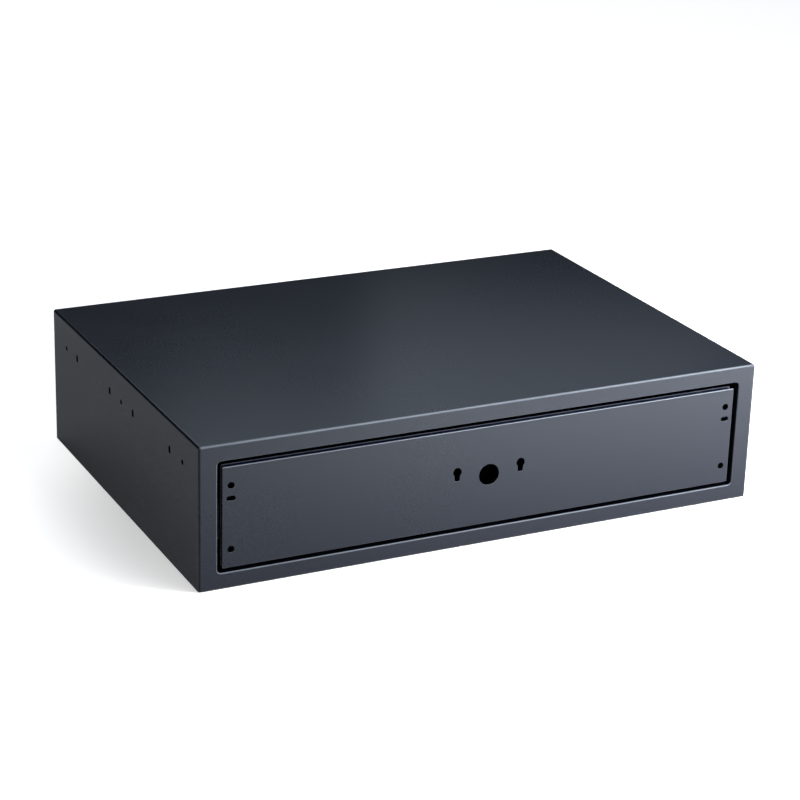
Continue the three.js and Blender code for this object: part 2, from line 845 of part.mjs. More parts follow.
// Cam disc with its hub, groove for the circlip, spiral slot and square socket
function lockCam() {
  const radius = camInnerRadius + boltThrow + followerDiameter / 2 + camSlotClearance + camRim;
  const hub = hubDiameter / 2;
  const grooveRear = lockPlateFrontY - circlipGap + 0.05;
  const grooveFront = grooveRear - circlipThickness - 0.1;
  const profile = [
    [0, lockPlateFrontY - hubReach],
    [hub, lockPlateFrontY - hubReach],
    [hub, grooveFront],
    [hub - hubGroove, grooveFront],
    [hub - hubGroove, grooveRear],
    [hub, grooveRear],
    [hub, camFrontY],
    [radius, camFrontY],
    [radius, camRearY],
    [0, camRearY],
  ];
  const geometry = turned(profile, 40);
  geometry.translate(0, 0, lockCentreHeight);
  const socket = hubSocket / 2;
  const [low, high] = [lockCentreHeight - socket, lockCentreHeight + socket];
  const hole = prismY(box(-socket, socket, low, high), lockPlateFrontY - hubReach - 1, camFrontY);
  return cut(solid(geometry), prismY(spiralSlot(), camFrontY - 1, camRearY + 1), hole);
}

// Open ring in the hub's groove, in front of the lock plate
function camCirclip() {
  const inner = hubDiameter / 2 - hubGroove + 0.1;
  const outer = inner + circlipWidth;
  const gap = Math.PI / 7;
  const outline = [
    ...arc(0, lockCentreHeight, outer, -Math.PI / 2 + gap, 3 * Math.PI / 2 - gap, 22),
    ...arc(0, lockCentreHeight, inner, 3 * Math.PI / 2 - gap, -Math.PI / 2 + gap, 22),
  ];
  const rear = lockPlateFrontY - circlipGap;
  return prismY(outline, rear - circlipThickness, rear);
}

// Sheet cover over the boltwork, open towards the drawer front, with a flange at each end
function lockCover() {
  const half = coverHalfWidth + coverSheet;
  const rear = wallY + coverDepth;
  const shell = prismY(box(-half, half, coverBottomZ, coverTopZ), wallY, rear);
  const hollow = prismY(
    box(-coverHalfWidth, coverHalfWidth, coverBottomZ + coverSheet, coverTopZ - coverSheet),
    wallY - 1,
    rear - coverSheet,
  );
  const flangeHalf = half + coverFlange;
  const flange = prismY(
    box(-flangeHalf, flangeHalf, coverBottomZ, coverTopZ),
    wallY,
    wallY + coverSheet,
  );
  const bores = [-boltFromMiddle, boltFromMiddle].map((x) => prismZ(
    circle(x, boltY, boltDiameter / 2 + 2 * guideClearance, 20),
    coverTopZ - coverSheet - 1,
    coverTopZ + 1,
  ));
  return cut(joined(shell, flange), hollow, ...bores, ...coverScrewHoles(wallY - 1, wallY + coverSheet + 1));
}

// Screw lying along Y with its head on the cover's flange
function coverScrew(x, z) {
  const head = screwHeadDiameter / 2;
  const shank = screwShankDiameter / 2;
  const seat = wallY + coverSheet;
  const tip = plateRearY + coverScrewTipGap;
  const profile = [
    [0, tip],
    [shank, tip],
    [shank, seat],
    [head, seat],
    [head, seat + screwHeadHeight * 0.6],
    [head * 0.7, seat + screwHeadHeight],
    [0, seat + screwHeadHeight],
  ];
  const geometry = turned(profile, 12);
  geometry.translate(x, 0, z);
  return solid(geometry);
}

// Casing
addPiece('casing_wrap', casingWrap(), paint);
const ring = frameRing();
const [topLeft, topRight] = [-1, 1].map((side) => mitre(side, casingHeight, openingTopZ));
const [bottomLeft, bottomRight] = [-1, 1].map((side) => mitre(side, 0, openingBottomZ));
addPiece('frame_top', frameSide(ring, topLeft, topRight), paint);
addPiece('frame_bottom', frameSide(ring, bottomLeft, bottomRight), paint);
addPiece('frame_left', frameSide(ring, topLeft, bottomLeft), paint);
addPiece('frame_right', frameSide(ring, topRight, bottomRight), paint);
addPiece('base_pan', basePan(), paint);
addPiece('rear_panel', rearPanel(), paint);
addPiece('strike_bar', strikeBar(), paint);

// Drawer front and tray
addPiece('drawer_front_plate', drawerFrontPlate(), paint);
addPiece('drawer_inner_front', drawerInnerFront(), paint);
const barTopZ = plateTopZ - barRecess;
topBarsFromRight.forEach(([far, near], i) => {
  const bar = frontBar(plateHalfWidth - far, plateHalfWidth - near, barTopZ - barHeight, barTopZ);
  addPiece(`front_top_bar_${i + 1}`, bar, paint);
});
const barBottomZ = plateBottomZ + barRecess;
const bottomBarHalf = plateHalfWidth - bottomBarInset;
const bottomBar = frontBar(-bottomBarHalf, bottomBarHalf, barBottomZ, barBottomZ + barHeight);
addPiece('front_bottom_bar', bottomBar, paint);
for (const [side, word] of [[-1, 'left'], [1, 'right']]) {
  const middleX = side * (plateHalfWidth - endBarInset - barWidth / 2);
  const low = slideCentreHeight - endBarHeight / 2;
  const bar = frontBar(middleX - barWidth / 2, middleX + barWidth / 2, low, low + endBarHeight);
  addPiece(`front_end_bar_${word}`, bar, paint);
}
addPiece('drawer_tray', drawerTray(), paint);
addPiece('drawer_back', drawerBack(), paint);

// Slides
for (const [side, word] of [[-1, 'left'], [1, 'right']]) {
  addPiece(`slide_spacer_${word}`, slideSpacer(side), paint);
  addPiece(`slide_cabinet_member_${word}`, cabinetMember(side), blackSteel);
  addPiece(`slide_outer_cage_${word}`, ballCage(side, outerCageAt, outerBallOffset, outerBallHeight), steel);
  addPiece(`slide_middle_member_${word}`, middleMember(side), blackSteel);
  addPiece(`slide_inner_cage_${word}`, ballCage(side, innerCageAt, innerBallOffset, innerBallHeight), steel);
  addPiece(`slide_drawer_member_${word}`, drawerMember(side), blackSteel);
  slideScrewPlaces(cabinetScrewFromEnds).forEach((y, i) => {
    const seatX = side * (slideBackX - slideSheet);
    const screw = slideScrew(side, seatX, y, slideSheet + spacerSheet);
    addPiece(`cabinet_screw_${word}_${i + 1}`, screw, zinc);
  });
  slideScrewPlaces(drawerScrewFromEnds).forEach((y, i) => {
    const seatX = side * (trayHalfWidth + slideSheet);
    const screw = slideScrew(-side, seatX, y, slideSheet + traySheet);
    addPiece(`drawer_screw_${word}_${i + 1}`, screw, zinc);
  });
}

// Boltwork
addPiece('lock_plate', lockPlate(), blackSteel);
addPiece('lock_cam', lockCam(), blackSteel);
addPiece('cam_circlip', camCirclip(), blackSteel);
addPiece('bolt_bar', boltBar(), zinc);
addPiece('follower_pin', followerPin(), steel);
for (const [side, word] of [[-1, 'left'], [1, 'right']]) {
  addPiece(`bolt_${word}`, bolt(side * boltFromMiddle), steel);
  addPiece(`bolt_guide_${word}`, boltGuide(side * boltFromMiddle), zinc);
}
addPiece('lock_cover', lockCover(), paint);
coverScrewPlaces().forEach(([x, z], i) => {
  addPiece(`cover_screw_${i + 1}`, coverScrew(x, z), zinc);
});

export default model;
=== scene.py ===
"""Under desk drawer safe: a low steel casing with a full-width drawer on ball slides and boltwork behind it.

Every sheet is made flat, with its holes and its rounded rims, and then laid along its folds, as the real
sheets are. Lengths are metres, +X runs right along the front, -Y out of the front and +Z up.
"""
import math

import bmesh
import bpy
import numpy as np
from bpy.props import FloatProperty, FloatVectorProperty, IntProperty, PointerProperty
from mathutils import Matrix, Vector
from mathutils.geometry import delaunay_2d_cdt

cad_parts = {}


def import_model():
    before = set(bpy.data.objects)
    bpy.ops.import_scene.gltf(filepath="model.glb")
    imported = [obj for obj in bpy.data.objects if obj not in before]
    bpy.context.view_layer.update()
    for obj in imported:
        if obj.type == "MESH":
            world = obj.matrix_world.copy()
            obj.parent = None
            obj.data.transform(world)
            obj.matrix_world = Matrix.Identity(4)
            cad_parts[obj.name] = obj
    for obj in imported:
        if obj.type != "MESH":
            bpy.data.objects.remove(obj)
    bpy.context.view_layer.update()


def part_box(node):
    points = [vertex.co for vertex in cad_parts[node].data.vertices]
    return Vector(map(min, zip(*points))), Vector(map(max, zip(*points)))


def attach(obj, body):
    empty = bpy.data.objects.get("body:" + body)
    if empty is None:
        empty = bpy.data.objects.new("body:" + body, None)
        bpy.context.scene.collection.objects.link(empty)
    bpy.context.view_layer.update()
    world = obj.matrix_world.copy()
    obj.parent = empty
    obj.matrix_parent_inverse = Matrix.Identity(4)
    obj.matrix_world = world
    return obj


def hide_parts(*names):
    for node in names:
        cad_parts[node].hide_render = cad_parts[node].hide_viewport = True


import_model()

bl_info = {
    "name": "Under desk drawer safe",
    "version": (1, 0, 0),
    "blender": (4, 5, 0),
    "location": "3D View > Sidebar > Drawer safe",
    "description": "Dresses the drawer safe with folded sheets, powder coat, ball slides and boltwork",
    "category": "Object",
}

SIDES = ((-1, "left"), (1, "right"))
QUARTER = math.pi / 2


# Sizes and colours a user would change

def length(name, text, value):
    """A length property, in metres."""
    return FloatProperty(name=name, description=text, default=value, min=0.0, unit="LENGTH", precision=5)


def share(name, text, value):
    """A property from 0 to 1."""
    return FloatProperty(name=name, description=text, default=value, min=0.0, max=1.0, subtype="FACTOR")


def colour(name, text, value):
    """A linear colour property."""
    return FloatVectorProperty(
        name=name, description=text, default=value, size=3, min=0.0, max=1.0, subtype="COLOR",
    )


def degrees(name, text, value):
    """An angle property, given in degrees."""
    return FloatProperty(name=name, description=text, default=math.radians(value), subtype="ANGLE")


class CasingSizes(bpy.types.PropertyGroup):
    sheet: length("Sheet", "Thickness of the folded casing", 0.002)
    bend: length("Bend", "Outer radius of the casing's folds", 0.0025)
    edge: length("Front edge", "Radius where the casing turns into its face", 0.0019)
    opening_edge: length("Opening edge", "Radius where the face turns into the lip", 0.0012)
    opening_corner: length("Opening corner", "Corner radius of the opening", 0.004)
    face_side: length("Face at the sides", "Width of the face beside the opening", 0.0173)
    face_bottom: length("Face below", "Height of the face under the opening", 0.016)
    face_top: length("Face above", "Height of the face over the opening", 0.0161)
    lip_rim: length("Lip rim", "Radius at the rear of the lip", 0.0004)
    rim: length("Rim", "Radius of cut sheet edges", 0.0003)
    hole_rim: length("Hole rim", "Radius at the edge of a hole, softened by the coat", 0.0002)
    row_drop: length("Row drop", "Height of the side holes under the top", 0.0284)
    row_start: length("Row start", "Distance of the first side hole behind the face", 0.04)
    row_pitch: length("Row pitch", "One step of the side holes", 0.032)
    row_hole: length("Row hole", "Diameter of the round side holes", 0.0046)
    row_slot: length("Row slot", "Height of the upright side slots", 0.0074)
    pan_sheet: length("Pan sheet", "Thickness of the base and the back", 0.0015)
    pan_bend: length("Pan bend", "Outer radius of the base's folds", 0.0019)
    flange_bend: length("Flange bend", "Outer radius of the folds in the back's flange", 0.0016)


class FrontSizes(bpy.types.PropertyGroup):
    edge: length("Edge", "Radius round the drawer front", 0.00085)
    inner_edge: length("Inner edge", "Radius round the sheet behind it", 0.0005)
    corner: length("Corner", "Corner radius of the drawer front", 0.0012)
    lock_hole: length("Lock hole", "Diameter of the middle hole", 0.0206)
    lock_height: length("Lock height", "Height of the middle hole's centre", 0.0687)
    keyhole_from_middle: length("Keyhole place", "Distance of a keyhole from the middle", 0.033)
    keyhole_rise: length("Keyhole rise", "Height of a keyhole's head over the lock's centre", 0.0072)
    keyhole_foot: length("Keyhole foot", "Depth of a keyhole's foot under the lock's centre", 0.0018)
    keyhole_head: length("Keyhole head", "Diameter of a keyhole's head", 0.0084)
    keyhole_stem: length("Keyhole stem", "Width of a keyhole's stem", 0.0054)
    keyhole_corner: length("Keyhole corner", "Corner radius of a keyhole's foot", 0.0015)
    corner_inset: length("Corner hole inset", "Distance of the end holes from the plate's side", 0.0084)
    corner_level: length("Corner hole level", "Distance of the end holes from the top and the bottom", 0.0179)
    corner_hole: length("Corner hole", "Diameter of the end holes", 0.0063)
    slot_drop: length("Slot drop", "Distance of the level slot under its round hole", 0.0124)
    slot_length: length("Slot length", "Length of the level slot", 0.0084)
    slot_height: length("Slot height", "Height of the level slot", 0.0043)
    inner_room: length("Inner room", "How much wider all round the inner sheet's holes are", 0.0023)


class SlideSizes(bpy.types.PropertyGroup):
    back: length("Back", "Distance of a slide's back from the middle", 0.2655)
    height: length("Height", "Height of a slide's middle line", 0.062)
    half: length("Half height", "Half the height of the fixed member", 0.0175)
    reach: length("Reach", "Thickness of the whole slide", 0.0127)
    sheet: length("Sheet", "Thickness of the outer members", 0.0012)
    middle_sheet: length("Middle sheet", "Thickness of the middle member", 0.001)
    bend: length("Bend", "Outer radius of the fixed and the drawer members' folds", 0.0018)
    middle_bend: length("Middle bend", "Outer radius of the middle member's folds", 0.0016)
    lip: length("Lip", "Height of the fixed member's lips", 0.0024)
    lip_bend: length("Lip bend", "Outer radius where the lips turn in", 0.0015)
    spacer_rise: length("Spacer rise", "How far a spacer's web reaches past the fixed member", 0.0015)
    spacer_bend: length("Spacer bend", "Outer radius of the spacers' folds", 0.0023)
    cage_sheet: length("Cage sheet", "Thickness of the ball cages", 0.0005)
    cage_bend: length("Cage bend", "Outer radius of the cages' folds", 0.0009)
    ball: length("Ball", "Radius of the balls", 0.0013)
    ball_pitch: length("Ball pitch", "Distance between balls", 0.02)
    balls: IntProperty(name="Balls", description="Balls in one row of a cage", default=6, min=2, max=16)
    screw_hole: length("Screw hole", "Diameter of the slides' screw holes", 0.0044)


class TraySizes(bpy.types.PropertyGroup):
    sheet: length("Sheet", "Thickness of the tray", 0.0012)
    bend: length("Bend", "Outer radius of the tray's folds", 0.0019)
    hem: length("Hem", "Width of the edges turned in", 0.006)


class ScrewSizes(bpy.types.PropertyGroup):
    head: length("Head", "Diameter of a screw's head", 0.007)
    rise: length("Rise", "Height of the head", 0.0016)
    dome: length("Dome", "Fall of the head's top towards its edge", 0.0005)
    shank: length("Shank", "Diameter of the shank", 0.0038)
    tip: length("Tip", "Length of the shank's taper", 0.001)
    arm_width: length("Arm width", "Width of the recess's arms", 0.0009)
    arm_length: length("Arm length", "Length of the recess's arms from end to end", 0.0038)
    arm_depth: length("Arm depth", "Depth of the recess", 0.0011)


class BoltSizes(bpy.types.PropertyGroup):
    plate: length("Lock plate", "Thickness of the plate that carries the cam", 0.0025)
    plate_foot: length("Plate foot", "Width of the lock plate's feet", 0.011)
    plate_bend: length("Plate bend", "Outer radius of the lock plate's folds", 0.003)
    guide: length("Guide", "Thickness of the bolt guides", 0.002)
    guide_bend: length("Guide bend", "Outer radius of the guides' folds", 0.0027)
    bolt: length("Bolt", "Diameter of the bolts", 0.01)
    throw: length("Throw", "Lift of the bolts in a quarter turn of the cam", 0.015)
    play: length("Play", "How much wider than its shaft a bearing's bore is", 0.0006)
    disc: length("Disc", "Thickness of the cam's disc", 0.004)
    cam_start: length("Cam start", "Distance of the follower from the cam's middle at rest", 0.010)
    cam_slot: length("Cam slot", "Width of the cam's spiral slot", 0.0058)
    hub: length("Hub", "Diameter of the cam's hub", 0.013)
    socket: length("Socket", "Width of the hub's square socket", 0.007)
    socket_corner: length("Socket corner", "Corner radius of the socket", 0.0004)
    bar_corner: length("Bar corner", "Corner radius of the bolt bar", 0.003)
    chamfer: length("Chamfer", "Chamfer at a bolt's ends", 0.001)
    clip_width: length("Clip width", "Width of the circlip's ring", 0.0032)
    clip_gap: degrees("Clip gap", "Angle of the circlip's opening", 360 / 7)
    pin: length("Pin", "Diameter of the follower pin", 0.005)
    pin_hole: length("Pin hole", "Diameter of its hole in the bolt bar", 0.0052)
    pin_head: length("Pin head", "Diameter of the pin's head", 0.008)
    pin_head_depth: length("Pin head depth", "Thickness of the pin's head", 0.0015)
    cover: length("Cover", "Thickness of the cover's sheet", 0.0012)
    cover_flange: length("Cover flange", "Width of the flanges at the cover's ends", 0.013)
    cover_bend: length("Cover bend", "Outer radius of the cover's folds", 0.0019)


class Finishes(bpy.types.PropertyGroup):
    paint: colour("Paint", "Powder coat", (0.0014, 0.0024, 0.0082))
    # Pale colour of the painted highlight along the edges that catch the light
    highlight_paint: colour("Thin paint", "Powder coat where it is pulled thin over an edge", (0.20, 0.225, 0.265))
    gloss: colour("Gloss", "Tint of the coat's reflections", (0.86, 0.93, 1.0))
    paint_roughness: share("Paint roughness", "Roughness of the powder coat", 0.28)
    paint_peel: share("Orange peel", "Strength of the coat's fine waviness", 0.05)
    zinc: colour("Zinc", "Zinc plated sheet", (0.60, 0.62, 0.64))
    steel: colour("Steel", "Bare steel", (0.46, 0.46, 0.47))
    slide: colour("Slides", "Black coated slides", (0.022, 0.022, 0.024))
    # Blackened steel, darkened to near black so that the parts behind the lock hole read as shade: partly its
    # own finish, partly painted shade. The same colour is the painted shade in holes and gaps
    black: colour("Black steel", "Blackened steel", (0.0018, 0.0018, 0.002))


class StageSizes(bpy.types.PropertyGroup):
    azimuth: degrees("Azimuth", "Turn of the camera", -26.452)
    elevation: degrees("Elevation", "Rise of the camera", 20.855)
    roll: degrees("Roll", "Tilt of the camera", 1.679)
    distance: length("Distance", "Camera to the middle of the view", 2.386654)
    aim_right: length("Aim right", "Shift of the aim to the right", 0.006304)
    aim_up: length("Aim up", "Shift of the aim upwards", 0.067067)
    lens: FloatProperty(name="Lens", description="Focal length in millimetres", default=106.766)
    floor: colour("Floor", "Floor of the stage", (0.84, 0.84, 0.84))
    # The glow under the safe is weaker than the far glow: a painted shadow round the safe
    glow: share("Glow", "Light of the back-lit floor under the safe", 0.41)
    glow_far: share("Far glow", "Light of the back-lit floor away from it", 0.78)


# Shapes worked out with numpy

# Strength of the painted highlight at the foot of a hole's rim, from 0 to 1
HOLE_FOOT_HIGHLIGHT = 0.6
# Flat strip kept beside a rim or a bend, so that the flat faces stay flat
MARGIN = 0.0003


def arc(centre, radius, start, end, steps):
    """Points at centre + radius (cos a, sin a), for a from start to end."""
    a = np.linspace(start, end, steps + 1)
    return np.column_stack([centre[0] + radius * np.cos(a), centre[1] + radius * np.sin(a)])


def ring(centre, diameter, steps=32):
    """A round hole's outline, clockwise, so that the sheet lies on its left."""
    return arc(centre, diameter / 2, 2 * math.pi, 0.0, steps)[:-1]


def quarter_round(radius, angles):
    """Inset r (1 - sin a) and depth r (1 - cos a) along a rounded edge, for each angle a."""
    return [(radius * (1 - math.sin(a)), radius * (1 - math.cos(a))) for a in angles]


def rounded_box(low, high, radius, steps=6):
    """A rectangle with quarter rounds at its corners, anticlockwise."""
    (a0, b0), (a1, b1) = low, high
    left, right, lower, upper = a0 + radius, a1 - radius, b0 + radius, b1 - radius
    centres = [(right, lower), (right, upper), (left, upper), (left, lower)]
    rounds = [arc(c, radius, (i - 1) * QUARTER, i * QUARTER, steps) for i, c in enumerate(centres)]
    return np.concatenate(rounds)


def round_sides(bottom, right, top, left, steps=6):
    """One value for each point of a rounded box, anticlockwise: a pair is a side's value at its start and its
    end, and the value changes evenly round each corner."""
    sides = [np.broadcast_to(side, 2) for side in (bottom, right, top, left, bottom)]
    return np.concatenate([np.linspace(a[1], b[0], steps + 1) for a, b in zip(sides, sides[1:])])


def slot(centre, across, up, steps=12):
    """A hole with two half round ends, clockwise: across and up are its whole width and height."""
    radius = min(across, up) / 2
    low = (centre[0] - across / 2, centre[1] - up / 2)
    high = (centre[0] + across / 2, centre[1] + up / 2)
    outline = rounded_box(low, high, radius, steps // 2)
    keep = np.linalg.norm(outline - np.roll(outline, 1, axis=0), axis=1) > 1e-7
    return outline[keep][::-1]


def keyhole(centre, head, stem, drop, corner):
    """A round head over a stem whose foot is drop under the head's centre, with quarter rounds, clockwise."""
    spread = math.asin(stem / head)
    half, low = stem / 2 - corner, centre[1] - drop + corner
    top = arc(centre, head / 2, -QUARTER + spread, 3 * QUARTER - spread, 24)
    left = arc((centre[0] - half, low), corner, 2 * QUARTER, 3 * QUARTER, 6)
    right = arc((centre[0] + half, low), corner, 3 * QUARTER, 4 * QUARTER, 6)
    return np.concatenate([top, left, right])[::-1]


def drawn_in(loop, inset):
    """The loop with edge i moved left by inset[i]. A corner goes to where its two moved edges meet."""
    edge = np.roll(loop, -1, axis=0) - loop
    left = np.column_stack([-edge[:, 1], edge[:, 0]]) / np.linalg.norm(edge, axis=1)[:, None]
    before, inset_before = np.roll(left, 1, axis=0), np.roll(inset, 1)
    cosine = (left * before).sum(axis=1)
    sine_squared = np.maximum(1 - cosine ** 2, 1e-12)
    along = (inset - cosine * inset_before) / sine_squared
    along_before = (inset_before - cosine * inset) / sine_squared
    shift = along[:, None] * left + along_before[:, None] * before
    straight = sine_squared < 1e-6
    shift[straight] = left[straight] * inset[straight, None]
    return loop + shift


def filling(loops, lines):
    """Triangles that fill the first loop outside the others. Each pair of points in lines stays an edge."""
    points = np.concatenate(loops)
    after = np.concatenate([np.roll(loop, -1, axis=0) for loop in loops])
    starts = np.cumsum([0] + [len(loop) for loop in loops[:-1]])
    edges = [(s + i, s + (i + 1) % len(loop)) for s, loop in zip(starts, loops) for i in range(len(loop))]
    made = delaunay_2d_cdt([Vector(p) for p in points.tolist()], edges + list(lines), [], 0, 1e-9)
    if any(not origin for origin in made[3]):
        raise RuntimeError("an outline crosses itself")
    number = np.array([origin[0] for origin in made[3]])
    triangles = number[np.array(made[2])]
    centre = points[triangles].mean(axis=1)[:, None]
    crosses = (points[:, 1] > centre[..., 1]) != (after[:, 1] > centre[..., 1])
    run = after - points
    rise = np.where(run[:, 1] == 0, 1.0, run[:, 1])
    at = points[:, 0] + (centre[..., 1] - points[:, 1]) * run[:, 0] / rise
    triangles = triangles[(crosses & (centre[..., 0] < at)).sum(axis=1) % 2 == 1]
    a, b, c = (points[triangles[:, i]] for i in range(3))
    turned_round = np.cross(b - a, c - a) < 0
    triangles[turned_round] = triangles[turned_round][:, ::-1]
    return triangles


def sheet(loops, rims, thickness, place, lines=(), steps=3, margin=MARGIN, thinning=1.0, bare=0):
    """A flat sheet with rounded rims, as points, faces and marks, laid out by place(s, t, depth).

    Round each loop runs a band of rings. At angle a the ring is drawn into the sheet by r (1 - sin a) at
    depth r (1 - cos a), from the front face to the middle of the rim and back out at the rear face. A last
    ring a margin further in keeps the flat faces flat. The marks are sin 2a, for a painted highlight over
    the rim, and 1 on the wall of a hole, for painted shade there. The first loop's highlight is weighed
    point by point by the shares given for it. At a hole the highlight shows at the foot, where light falls,
    and elsewhere the rim carries painted shade too: the share of foot is (middle - t) / half height,
    squared, and 0 over the middle. With bare at 1 a hole has no such foot, and at 2 the margin round it
    carries painted shade as well.
    """
    angles = np.linspace(0, QUARTER, steps + 1)
    thin = np.sin(2 * np.concatenate([[0], angles, angles[::-1], [0]]))
    points, quads, fronts, backs, bands, marks = [], [], [], [], [], []
    base = 0
    for number_of_loop, (loop, rim) in enumerate(zip(loops, rims)):
        wall = np.zeros((len(thin), len(loop)))
        if number_of_loop:
            t = loop[:, 1]
            # A hole's foot carries the painted highlight; the rest of its rim and its wall carry painted
            # shade
            foot = np.clip(1 - 2 * (t - t.min()) / np.ptp(t), 0, 1) ** 2 * (bare == 0)
            first = 0 if bare == 2 else 2
            wall[first:len(thin) - first] = 1 - foot
            wall[steps + 1:steps + 3] = 1
            weight = HOLE_FOOT_HIGHLIGHT * foot
        else:
            weight = np.broadcast_to(thinning, len(loop))
        marks.append(np.column_stack([np.outer(thin, weight).ravel(), wall.ravel()]))
        radius = np.broadcast_to(np.asarray(rim, float), len(loop))
        rows = [(radius + margin, 0 * radius), *quarter_round(radius, angles)]
        rows += [(inset, thickness - depth) for inset, depth in reversed(rows)]
        points += [np.column_stack([drawn_in(loop, inset), depth]) for inset, depth in rows]
        here = base + np.arange(len(loop))
        number = here + len(loop) * np.arange(len(rows))[:, None]
        beside = np.roll(number, -1, axis=1)
        quads.append(np.stack([number[:-1], beside[:-1], beside[1:], number[1:]], axis=-1).reshape(-1, 4))
        fronts.append(number[0])
        backs.append(number[-1])
        bands.append(points[-len(rows)][:, :2])
        base += number.size
    triangles = filling(bands, lines)
    front, back = np.concatenate(fronts), np.concatenate(backs)
    faces = np.concatenate(quads).tolist() + front[triangles[:, ::-1]].tolist() + back[triangles].tolist()
    s, t, depth = np.concatenate(points).T
    return np.column_stack(place(s, t, depth)), faces, np.concatenate(marks)


class Fold:
    """The section of a folded sheet: straight runs between corners, joined by round bends.

    On a bend of radius R the point is centre - R n and the normal n turns evenly from one run's left normal
    to the next one's. The sheet's thickness is laid along that normal.
    """

    def __init__(self, corners, radii, steps=6, margin=MARGIN):
        corners = np.array(corners, float)
        run = np.diff(corners, axis=0)
        run /= np.linalg.norm(run, axis=1)[:, None]
        left = np.column_stack([-run[:, 1], run[:, 0]])
        points, normals = [corners[:1]], [left[:1]]
        for i, radius in enumerate(radii):
            u, v, corner = run[i], run[i + 1], corners[i + 1]
            turn = math.atan2(u[0] * v[1] - u[1] * v[0], u @ v)
            side, tangent = math.copysign(1, turn), radius * math.tan(abs(turn) / 2)
            a = np.linspace(0, turn, steps + 1)[:, None]
            normal = left[i] * np.cos(a) - run[i] * np.sin(a)
            centre = corner - u * tangent + side * radius * left[i]
            bend = centre - side * radius * normal
            points += [bend[:1] - u * margin, bend, bend[-1:] + v * margin]
            normals += [left[i:i + 1], normal, left[i + 1:i + 2]]
        self.points = np.concatenate(points + [corners[-1:]])
        self.normals = np.concatenate(normals + [left[-1:]])
        self.places = np.concatenate([[0], np.cumsum(np.linalg.norm(np.diff(self.points, axis=0), axis=1))])

    def at(self, a, b):
        """Developed length at the place on the section that is nearest to (a, b)."""
        start, run = self.points[:-1], np.diff(self.points, axis=0)
        size = np.linalg.norm(run, axis=1)
        along = np.clip(((np.array([a, b]) - start) * run).sum(axis=1) / size, 0, size)
        distance = np.linalg.norm(start + run / size[:, None] * along[:, None] - [a, b], axis=1)
        nearest = int(distance.argmin())
        return self.places[nearest] + along[nearest]

    def section(self, s, depth):
        """Section coordinates of the developed place s, at a depth from the outer face."""
        point = [np.interp(s, self.places, self.points[:, i]) for i in range(2)]
        normal = [np.interp(s, self.places, self.normals[:, i]) for i in range(2)]
        return [p + n * depth for p, n in zip(point, normal)]


def folded(fold, low, high, thickness, world, holes=(), hole_rim=0.00025, rims=0.0003, **more):
    """A folded sheet between low and high, with holes in its developed outline.

    rims are the radii of its low side, its end, its high side and its start. world turns section
    coordinates and the place along the fold into X, Y and Z.
    """
    s = fold.places
    n = len(s)
    loop = np.column_stack([np.concatenate([s, s[::-1]]), np.repeat([low, high], n)])
    low_rim, end_rim, high_rim, start_rim = np.broadcast_to(rims, 4)
    radius = np.concatenate([np.full(n - 1, low_rim), [end_rim], np.full(n - 1, high_rim), [start_rim]])
    lines = [(i, 2 * n - 1 - i) for i in range(1, n - 1)]

    def place(s, t, depth):
        a, b = fold.section(s, depth)
        return world(a, b, t)

    return sheet([loop, *holes], [radius] + [hole_rim] * len(holes), thickness, place, lines, **more)


def along_y(a, b, t):
    """Section in X and Z, laid along Y."""
    return a, t, b


def along_x(a, b, t):
    """Section in Y and Z, laid along X."""
    return t, a, b


def along_z(a, b, t):
    """Section in X and Y, laid along Z."""
    return a, b, t


def upright_plate(y, loops, rims, thickness, **more):
    """A flat sheet that stands in X and Z with its front face at y."""
    return sheet(loops, rims, thickness, lambda s, t, depth: (s, y + depth, t), **more)


def lofted(rings_of_points, thin, bare):
    """Quads through a row of like closed rings, the last joined to the first, and each point's marks."""
    grid = np.array(rings_of_points)
    count, n = grid.shape[:2]
    number = np.arange(count * n).reshape(count, n)
    beside, under = np.roll(number, -1, axis=1), np.roll(number, -1, axis=0)
    quads = np.stack([number, beside, np.roll(beside, -1, axis=0), under], axis=-1).reshape(-1, 4)
    return grid.reshape(-1, 3), quads.tolist(), np.column_stack([thin.ravel(), bare.ravel()])


def turned(profile, steps, world, reshape=None):
    """A turned surface: the profile's radius and height carried round its axis, closed at both poles.

    reshape(radius, height, angle) may move the surface, such as for a recess or a flat.
    """
    radius, height = np.array(profile, float).T
    angle = np.linspace(0, 2 * math.pi, steps, endpoint=False)
    grid_radius = np.repeat(radius[:, None], steps, axis=1)
    grid_height = np.repeat(height[:, None], steps, axis=1)
    grid_angle = np.repeat(angle[None, :], len(radius), axis=0)
    if reshape:
        grid_radius, grid_height = reshape(grid_radius, grid_height, grid_angle)
    points = world(grid_radius * np.cos(grid_angle), grid_radius * np.sin(grid_angle), grid_height)
    number = np.arange(grid_radius.size).reshape(grid_radius.shape)
    beside = np.roll(number, -1, axis=1)
    quads = np.stack([number[:-1], beside[:-1], beside[1:], number[1:]], axis=-1).reshape(-1, 4)
    return np.column_stack([p.ravel() for p in points]), quads.tolist()


def eased(profile, radius, steps=3):
    """The profile with its corners rounded, each by the curve s (1 - t)^2 + 2 c t (1 - t) + e t^2.

    c is the corner. The curve starts at s, a radius before it, and ends at e, a radius after it.
    """
    points = np.array(profile, float)
    rounded = [points[:1]]
    t = np.linspace(0, 1, steps + 1)[:, None]
    for before, corner, after in zip(points, points[1:], points[2:]):
        start = corner + (before - corner) * min(radius / np.linalg.norm(before - corner), 0.45)
        end = corner + (after - corner) * min(radius / np.linalg.norm(after - corner), 0.45)
        rounded.append(start * (1 - t) ** 2 + 2 * corner * t * (1 - t) + end * t ** 2)
    return np.concatenate(rounded + [points[-1:]])


# Pieces

# Marks each point carries: a painted highlight along rims that catch the light, and painted shade, near black
# and dull, on the walls of holes and in gaps
MARKS = ("painted_highlight", "painted_shade")
